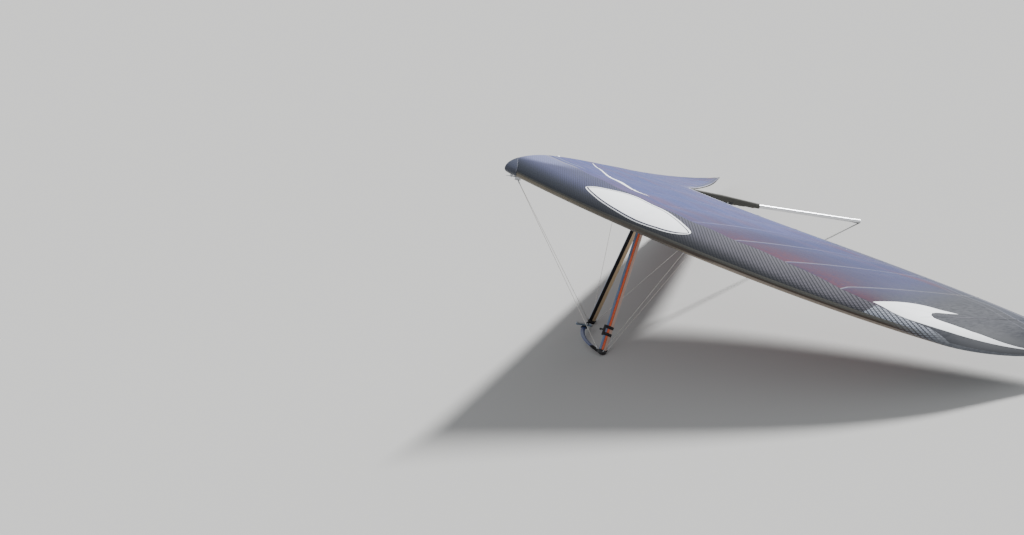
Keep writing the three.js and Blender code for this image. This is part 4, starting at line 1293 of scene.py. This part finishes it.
# Each stay is a twisted wire with a swaged sleeve and a thimble eye at each end
def makeStays():
    steps = rigging["wireSteps"]
    sleeve = [(d, rigging["sleeveRadius"] * share) for d, share in rigging["sleeve"]]
    for sideName, sign in sides:
        for name, (start, end) in stayEnds(sign).items():
            wire = f"{name}_wire_{sideName}"
            aim = unit(end - start)
            total = float(np.linalg.norm(end - start))
            distances = np.linspace(rigging["lowLug"] + rigging["strandIn"],
                                    total - rigging["farLug"] - rigging["strandIn"], 40)
            strand = [(d, rigging["wireRadius"]) for d in distances]
            points, faces = turnedBar(start, end, strand, steps)
            values = {"around": np.tile(np.arange(steps) / steps, len(distances)),
                      "along": np.repeat(distances, steps)}
            obj = newObject(f"{wire}_strand", points, faces, values)
            finishPiece(obj, wireSteel, "airframe", [wire])
            fittings = []
            across = unit(np.cross(aim, (0, 0, 1)))
            for at, way in ((start + aim * rigging["lowLug"], 1), (end - aim * rigging["farLug"], -1)):
                first = at + aim * way * rigging["sleeveIn"]
                fittings.append(turnedBar(first, first + aim * way * sleeve[-1][0], sleeve, 20))
                fittings.append(ringShape(at + aim * way * rigging["eyeIn"], across, *rigging["eye"]))
            hardPiece(f"{wire}_ends", joined(*fittings), steel, bevel=0)


makeStays()


# The stub that holds a stay's far end and points down the stay
def stayStub(ends, root, neck):
    start, end = ends
    back = unit(start - end)
    return turnedBar(end, end + back * 0.036, [(0, root), (0.030, neck), (0.036, 0.003)], 16)


# Nose plate, under the keel's front end, with the catch of the front stays
plate = {"outline": [(-0.020, 0.0), (-0.150, 0.060), (-0.210, 0.026)], "low": -0.070, "thick": 0.005,
         "legs": (-0.075, -0.178), "legUp": 0.026, "leg": (0.026, 0.034, 0.046),
         "legBolt": (0.013, 0.007, 0.010), "sideAt": (-0.146, 0.044), "sideBolt": (0.010, 0.005, 0.008),
         "catch": (0.058, 0.030, 0.027), "catchLow": -0.085, "pinHalf": 0.024, "pinRadius": 0.005}


def makeNosePlate():
    (pointX, _), *rest = plate["outline"]
    outline = [(pointX, 0.0)] + rest + [(x, -half) for x, half in reversed(rest)]
    low = plate["low"]
    shapes = [prism(outline, low, low + plate["thick"])]
    # two legs up to the keel, the bolts and the catch with its two eyes
    for x in plate["legs"]:
        shapes.append(boxShape((x, 0, low + plate["legUp"]), plate["leg"]))
        shapes.append(hexBolt((x, 0, low), (0, 0, -1), *plate["legBolt"]))
    sideX, sideY = plate["sideAt"]
    for _, sign in sides:
        shapes.append(hexBolt((sideX, sign * sideY, low), (0, 0, -1), *plate["sideBolt"]))
        shapes.append(stayStub(stayEnds(sign)["nose"], 0.005, 0.005))
    x, _, z = rigging["noseCatch"]
    shapes.append(boxShape((x, 0, plate["catchLow"]), plate["catch"]))
    shapes.append(crossPin(x, z, plate["pinHalf"], plate["pinRadius"]))
    hardPiece("nose_plate_alloy", joined(*shapes), bracketMetal, ["nose_plate"], bevel=0.0012)


# Rear catch: a saddle under the keel with a block, a pin and the two stubs of the rear stays
rearCatch = {"half": 0.022, "clear": 0.0004, "wall": 0.0045, "steps": 28, "block": (0.038, 0.032, 0.017),
             "blockLow": -0.034, "pinUp": 0.004, "pinHalf": 0.026, "pinRadius": 0.0045,
             "bolt": (0.009, 0.005, 0.007), "boltOut": 0.0265}


def makeRearCatch():
    x, _, z = rigging["rearCatch"]
    r = keel["radius"] + rearCatch["clear"]
    saddle, faces = [], []
    steps = rearCatch["steps"]
    for end in (x - rearCatch["half"], x + rearCatch["half"]):
        for radius in (r, r + rearCatch["wall"]):
            for i in range(steps + 1):
                a = math.pi * i / steps
                saddle.append((end, -radius * math.cos(a), -radius * math.sin(a)))
    ring = steps + 1
    for i in range(steps):
        faces.append((i, i + 1, 2 * ring + i + 1, 2 * ring + i))
        faces.append((ring + i, 3 * ring + i, 3 * ring + i + 1, ring + i + 1))
        faces.append((i, ring + i, ring + i + 1, i + 1))
        faces.append((2 * ring + i, 2 * ring + i + 1, 3 * ring + i + 1, 3 * ring + i))
    for a in (0, steps):
        faces.append((a, 2 * ring + a, 3 * ring + a, ring + a))
    pinAt = z + rearCatch["pinUp"]
    shapes = [(saddle, faces), boxShape((x, 0, rearCatch["blockLow"]), rearCatch["block"])]
    shapes.append(crossPin(x, pinAt, rearCatch["pinHalf"], rearCatch["pinRadius"], 18))
    for _, sign in sides:
        shapes.append(stayStub(stayEnds(sign)["rear"], 0.0045, 0.0045))
        shapes.append(hexBolt((x, sign * rearCatch["boltOut"], pinAt), (0, sign, 0), *rearCatch["bolt"]))
    hardPiece("rear_wire_catch", joined(*shapes), darkMetal, ["rear_wire_bracket"],
              bevel=0.0008)


# Side tangs: a stub out of the undersurface through a round plate
tangPlate = {"above": 0.002, "below": 0.004, "stops": [(0, 0.012), (0.004, 0.012), (0.006, 0.009)]}


def makeSideTangs():
    for sideName, sign in sides:
        start, end = stayEnds(sign)["side"]
        back = unit(start - end)
        shapes = [stayStub((start, end), 0.0045, 0.0042),
                  turnedBar(end - back * tangPlate["above"], end + back * tangPlate["below"],
                            tangPlate["stops"], 24)]
        hardPiece(f"side_tang_{sideName}_alloy", joined(*shapes), bracketMetal,
                  [f"side_wire_tang_{sideName}"], bevel=0.0005)


# Apex bracket: two cheeks bolted to the keel, a block between them and the pin of the downtubes
apex = {"cheek": (0.096, 0.003, 0.118), "cheekAt": (0.0235, -0.037), "keelBolt": (0.011, 0.006, 0.009),
        "keelBoltAt": (0.034, 0.025), "block": (0.094, 0.046, 0.066), "blockLow": -0.062,
        "foot": (0.040, 0.026, 0.022), "footLow": -0.102, "pinHalf": 0.062, "pinRadius": 0.005,
        "pinBolt": (0.013, 0.0045, 0.010), "pinBoltOut": 0.0565}


def makeApexBracket():
    x, _, z = controls["apex"]
    shapes = []
    cheekOut, cheekUp = apex["cheekAt"]
    boltAlong, boltOut = apex["keelBoltAt"]
    for _, sign in sides:
        shapes.append(boxShape((x, sign * cheekOut, cheekUp), apex["cheek"]))
        for dx in (-boltAlong, boltAlong):
            shapes.append(hexBolt((x + dx, sign * boltOut, 0.0), (0, sign, 0), *apex["keelBolt"]))
    shapes.append(boxShape((x, 0, apex["blockLow"]), apex["block"]))
    shapes.append(boxShape((x, 0, apex["footLow"]), apex["foot"]))
    shapes.append(crossPin(x, z, apex["pinHalf"], apex["pinRadius"]))
    for _, sign in sides:
        shapes.append(hexBolt((x, sign * apex["pinBoltOut"], z), (0, sign, 0), *apex["pinBolt"]))
    hardPiece("apex_bracket_alloy", joined(*shapes), bracketMetal, ["apex_bracket"],
              bevel=0.001)


makeNosePlate()
makeRearCatch()
makeSideTangs()
makeApexBracket()
print("rigging and brackets made")

# Instrument pod with a blank screen and three keys, on a clamp round the base bar
pod = {"long": 0.165, "wide": 0.084, "thick": 0.018, "round": 0.016, "y": -0.380, "back": -1.124,
       "lift": 0.014, "edge": 0.0015, "screen": (0.086, 0.056), "screenAhead": 0.018, "bezel": 0.012,
       "bezelUp": 0.014, "keyBack": 0.048, "keyPitch": 0.024, "key": (0.018, 0.012, 0.004)}
clamp = {"wide": 0.032, "inner": 0.0003, "outer": 0.0055, "post": (0.044, 0.030, 0.0100),
         "postDown": 0.0055, "ear": (0.009, 0.022, 0.012), "earOut": 0.0065,
         "bolt": (0.007, 0.004, 0.005), "boltDown": 0.006}


# A slab with round corners, between the heights z0 and z1
def roundedSlab(cx, cy, z0, z1, long, wide, r, steps=8):
    outline = []
    hx, hy = long / 2, wide / 2
    for sx, sy, start in ((1, 1, 0), (-1, 1, 90), (-1, -1, 180), (1, -1, 270)):
        for i in range(steps + 1):
            a = math.radians(start + 90 * i / steps)
            outline.append((cx + sx * (hx - r) + r * math.cos(a), cy + sy * (hy - r) + r * math.sin(a)))
    return prism(outline, z0, z1)


# A band round the base bar's oval: `wide` along the bar, from one growth of the oval to another
def ovalBand(middle, along, wide, inner, outer, steps=40):
    profile = [(d - wide / 2, grow) for d, grow in wallProfile(wide, inner, outer)]
    side = unit(np.cross(along, (0, 0, 1)))
    up = np.cross(side, along)
    points = [middle + along * d + side * a + up * b
              for d, grow in profile for a, b in barOval(grow, steps)]
    return points, gridFaces(len(profile), steps, looped=True)


def makePod():
    floor = controls["corner"][2] + controls["barUp"] + controls["barThick"] / 2 + pod["lift"]
    cx, cy = pod["back"] + pod["long"] / 2, pod["y"]
    high, inFace = floor + pod["thick"], floor + pod["bezelUp"]
    shell = roundedSlab(cx, cy, floor, high - pod["edge"], pod["long"], pod["wide"], pod["round"])
    podShell = plasticFinish("pod_shell", (0.100, 0.135, 0.180), 0.38, 0.25)
    hardPiece("instrument_pod_shell", shell, podShell, ["instrument_pod"], bevel=0.003,
              segments=4)
    screenX, (long, wide) = cx + pod["screenAhead"], pod["screen"]
    bezel = roundedSlab(screenX, cy, inFace, high - 0.0004, long + pod["bezel"], wide + pod["bezel"],
                        0.006)
    hardPiece("instrument_pod_bezel", bezel, blackNylon, bevel=0.0008)
    glass = Finish("blank_screen", roughness=0.3, Specular_IOR_Level=0.1, Coat_Weight=0.15,
                   Coat_Roughness=0.05)
    haze = glass.noise(glass.place(), 40.0, 3.0, 0.6)
    glass.link("Base Color", glass.mix(haze, (0.016, 0.019, 0.020), (0.026, 0.030, 0.030)))
    glass.link("Roughness", 0.24 + haze * 0.1)
    screen = roundedSlab(screenX, cy, inFace + 0.001, high, long, wide, 0.003)
    hardPiece("instrument_pod_screen", screen, glass, bevel=0.0004)
    keys = [roundedSlab(cx - pod["keyBack"], cy + dy, inFace, high, *pod["key"])
            for dy in (-pod["keyPitch"], 0.0, pod["keyPitch"])]
    hardPiece("instrument_pod_keys", joined(*keys), softBlack, bevel=0.0008)
    share = pod["y"] / barReach
    middle = barPlace(share)
    x, _, z = middle
    slope = unit((2 * controls["barBow"] * -share / barReach, 1, 0))
    band = ovalBand(middle, slope, clamp["wide"], clamp["inner"], clamp["outer"])
    post = boxShape((x, cy, floor - clamp["postDown"]), clamp["post"])
    reach = controls["barChord"] / 2 + clamp["earOut"]
    ears = [boxShape((x + dx, cy, z), clamp["ear"]) for dx in (-reach, reach)]
    bolts = [hexBolt((x + dx, cy, z - clamp["boltDown"]), (0, 0, -1), *clamp["bolt"])
             for dx in (-reach, reach)]
    hardPiece("instrument_clamp", joined(band, post, *ears, *bolts), blackNylon,
              ["instrument_bracket"], bevel=0.0008)


makePod()

# Clamp on the left downtube: two straps with screws, a pad on a saddle, and a short ribbed arm
mount = {"low": 0.163, "high": 0.233, "band": 0.030, "ahead": 0.009, "deep": 0.024, "wide": 0.026,
         "armUp": 0.014, "armAhead": 0.012, "armLong": 0.042, "armRadius": 0.010,
         "arm": [(0, 1.0), (0.012, 1.0), (0.014, 0.7), (0.022, 0.7), (0.024, 1.0), (0.038, 1.0),
                 (0.042, 0.7)],
         "screw": (0.008, 0.002, 0.0075), "screwOut": 0.0187}


def makeMount():
    centre, top = cornerPoint(1), apexPoint(1)
    x, y, z = tubeAxes(centre, top)
    chord, thick, wide = controls["chord"], controls["thick"], mount["band"]
    bands = []
    for start in (mount["low"], mount["high"]):
        grown = [(0, 0.0030), (0.002, 0.0048), (wide * 0.45, 0.0048), (wide * 0.5, 0.0040),
                 (wide * 0.55, 0.0048), (wide - 0.002, 0.0048), (wide, 0.0030)]
        bands.append(streamBar(centre, top, chord, thick, [(start + d, grow) for d, grow in grown])[0])
    middle = (mount["low"] + mount["high"] + wide) / 2
    ahead = chord / 2 + mount["ahead"]
    tall = mount["high"] - mount["low"] + wide
    pad = boxShape(centre + z * middle + x * (ahead + 0.003),
                   (mount["deep"] - 0.006, mount["wide"], tall), (x, y, z))
    saddle = boxShape(centre + z * middle + x * (ahead - 0.004),
                      (0.016, mount["wide"] + 0.008, tall - 0.012), (x, y, z))
    armRoot = centre + z * (middle + mount["armUp"]) + np.array([chord / 2 + mount["armAhead"], 0, 0])
    arm = turnedBar(armRoot, armRoot + np.array([mount["armLong"], 0, 0]),
                    [(d, mount["armRadius"] * share) for d, share in mount["arm"]])
    screws = [hexBolt(centre + z * (d + wide / 2) + y * k * mount["screwOut"], y * k, *mount["screw"])
              for d in (mount["low"], mount["high"]) for k in (1, -1)]
    hardPiece("downtube_mount_straps", joined(*bands), softBlack, ["downtube_mount"],
              bevel=0.0006)
    hardPiece("downtube_mount_block", joined(pad, saddle, arm), blackNylon, bevel=0.002)
    hardPiece("downtube_mount_screws", joined(*screws), darkMetal, bevel=0.0004)


makeMount()
print("pod and mount made")

# Hang strap: a band round the keel and the loop that swings from it
strap = {"x": -1.590, "wide": 0.044, "thick": 0.004, "length": 0.430, "bandOuter": 0.0253,
         "clear": 0.0003, "above": 0.96, "legSteps": 46, "tackFrom": 0.055, "tackTo": 0.095}


def webbingFinish():
    f = Finish("hang_webbing", roughness=0.85, Sheen_Weight=0.3)
    across, back = f.read("acrossStrap"), f.read("alongStrap")
    ribs = f.away(f.fract(back * 420.0) - 0.5)
    warp = f.away(f.fract(across * 260.0) - 0.5)
    fuzz = f.noise(f.place(), 700.0, 3.0, 0.7)
    edge = f.rise(f.away(across), 0.0165, 0.0180)
    colour = f.mix(f.larger(ribs, warp), (0.019, 0.021, 0.025), (0.044, 0.048, 0.054))
    stripe = f.line(f.away(across), 0.012, 0.0012, 0.0006)
    colour = f.mix(stripe * 0.6, colour, (0.188, 0.188, 0.181))
    tack = f.rise(f.away(f.fract(back * 160.0) - 0.5), 0.38, 0.42) * f.read("tacked")
    f.link("Base Color", f.mix(tack, colour, (0.263, 0.062, 0.044)))
    f.bump(f.larger(ribs, warp) + edge * 0.5 + tack + fuzz * 0.3, 0.0006, 0.8)
    return f


webbing = webbingFinish()


# A flat strap along a path; `wideWay` gives the direction of its width
def strapPiece(name, path, wideWay, wide, thick, body, stands, tacks=(), closed=False):
    path = np.asarray(path, float)
    wideWay = unit(wideWay)
    across = [-wide / 2 + wide * i / 12 for i in range(13)]
    ring = [(a, thick / 2 if 0 < i < 12 else thick * 0.3) for i, a in enumerate(across)]
    ring += [(a, -h) for a, h in reversed(ring)]
    points, acrossValue, alongValue, tacked = [], [], [], []
    run = 0.0
    for i, centre in enumerate(path):
        normal = unit(np.cross(wideWay, heading(path, i, closed)))
        if i:
            run += float(np.linalg.norm(centre - path[i - 1]))
        for a, h in ring:
            points.append(centre + wideWay * a + normal * h)
            acrossValue.append(a)
            alongValue.append(run)
            tacked.append(1.0 if any(low <= run <= high for low, high in tacks) else 0.0)
    faces = gridFaces(len(path), len(ring), looped=closed, capped=not closed)
    values = {"acrossStrap": acrossValue, "alongStrap": alongValue, "tacked": tacked}
    obj = newObject(name, points, faces, values)
    creaseByAngle(obj, 60)
    return finishPiece(obj, webbing, body, stands)


def makeHangStraps():
    r = strap["bandOuter"] - strap["thick"] / 2
    turn = np.linspace(0, 2 * math.pi, 48, endpoint=False)
    band = [(strap["x"], r * math.cos(a), r * math.sin(a)) for a in turn]
    strapPiece("hang_band_webbing", band, (1, 0, 0), strap["wide"], strap["thick"] - 0.0004, "airframe",
               ["hang_band"], closed=True)
    # plumb axes while the keel is pitched up
    down = np.array([-sinPitch, 0, -cosPitch])
    fore = np.array([cosPitch, 0, -sinPitch])
    top = np.array([strap["x"], 0, 0])
    legY = strap["bandOuter"] + strap["clear"] + strap["thick"] / 2
    above = strap["wide"] / 2 * strap["above"]
    path = []
    for d in np.linspace(-above, strap["length"], strap["legSteps"]):
        path.append(top + down * d + np.array([0, legY, 0]))
    for a in np.linspace(0, math.pi, 15)[1:-1]:
        depth = strap["length"] + legY * math.sin(a)
        path.append(top + down * depth + np.array([0, legY * math.cos(a), 0]))
    for d in np.linspace(strap["length"], -above, strap["legSteps"]):
        path.append(top + down * d + np.array([0, -legY, 0]))
    total = 2 * (strap["length"] + above) + math.pi * legY
    low, high = strap["tackFrom"], strap["tackTo"]
    tacks = ((low, high), (total - high, total - low))
    strapPiece("hang_loop_webbing", path, fore, strap["wide"] - 0.001, strap["thick"] - 0.0002,
               "hang_loop", ["hang_loop"], tacks)


makeHangStraps()
print("hang strap made")

# Floor, light and a backdrop in the floor's own tone, so that no horizon shows
studio = {
    "floorRadius": 150.0, "floorColour": (0.3625, 0.3594, 0.3500),
    "skyColour": (0.93, 0.96, 1.0), "skyLight": 0.80,
    "sunPower": 9.6, "sunAngle": 12.0, "sunFrom": (-0.75, -0.40, 0.80),
}


def makeStudio():
    mesh = bpy.data.meshes.new("studio_floor")
    rim = circle(studio["floorRadius"], 96)
    mesh.from_pydata([(x, y, 0.0) for x, y in rim], [], [tuple(range(len(rim)))])
    floor = bpy.data.objects.new("studio_floor", mesh)
    bpy.context.scene.collection.objects.link(floor)
    paint = Finish("studio_floor", roughness=1.0, Specular_IOR_Level=0.0)
    paint.shader.inputs["Base Color"].default_value = (*studio["floorColour"], 1.0)
    mesh.materials.append(paint.material)
    sun = bpy.data.lights.new("studio_sun", "SUN")
    sun.energy, sun.angle = studio["sunPower"], math.radians(studio["sunAngle"])
    lamp = bpy.data.objects.new("studio_sun", sun)
    towards = Vector(studio["sunFrom"]).normalized()
    lamp.rotation_euler = towards.to_track_quat("Z", "Y").to_euler()
    bpy.context.scene.collection.objects.link(lamp)
    world = bpy.context.scene.world or bpy.data.worlds.new("studio")
    bpy.context.scene.world = world
    world.use_nodes = True
    nodes, links = world.node_tree.nodes, world.node_tree.links
    nodes.clear()
    seen, light = nodes.new("ShaderNodeBackground"), nodes.new("ShaderNodeBackground")
    direct = studio["sunPower"] * towards.z / math.pi
    tone = [shade * (direct + studio["skyLight"] * sky)
            for shade, sky in zip(studio["floorColour"], studio["skyColour"])]
    seen.inputs[0].default_value = (*tone, 1.0)
    light.inputs[0].default_value = (*studio["skyColour"], 1.0)
    light.inputs[1].default_value = studio["skyLight"]
    path, choice = nodes.new("ShaderNodeLightPath"), nodes.new("ShaderNodeMixShader")
    links.new(path.outputs["Is Camera Ray"], choice.inputs[0])
    links.new(light.outputs[0], choice.inputs[1])
    links.new(seen.outputs[0], choice.inputs[2])
    links.new(choice.outputs[0], nodes.new("ShaderNodeOutputWorld").inputs[0])


makeStudio()
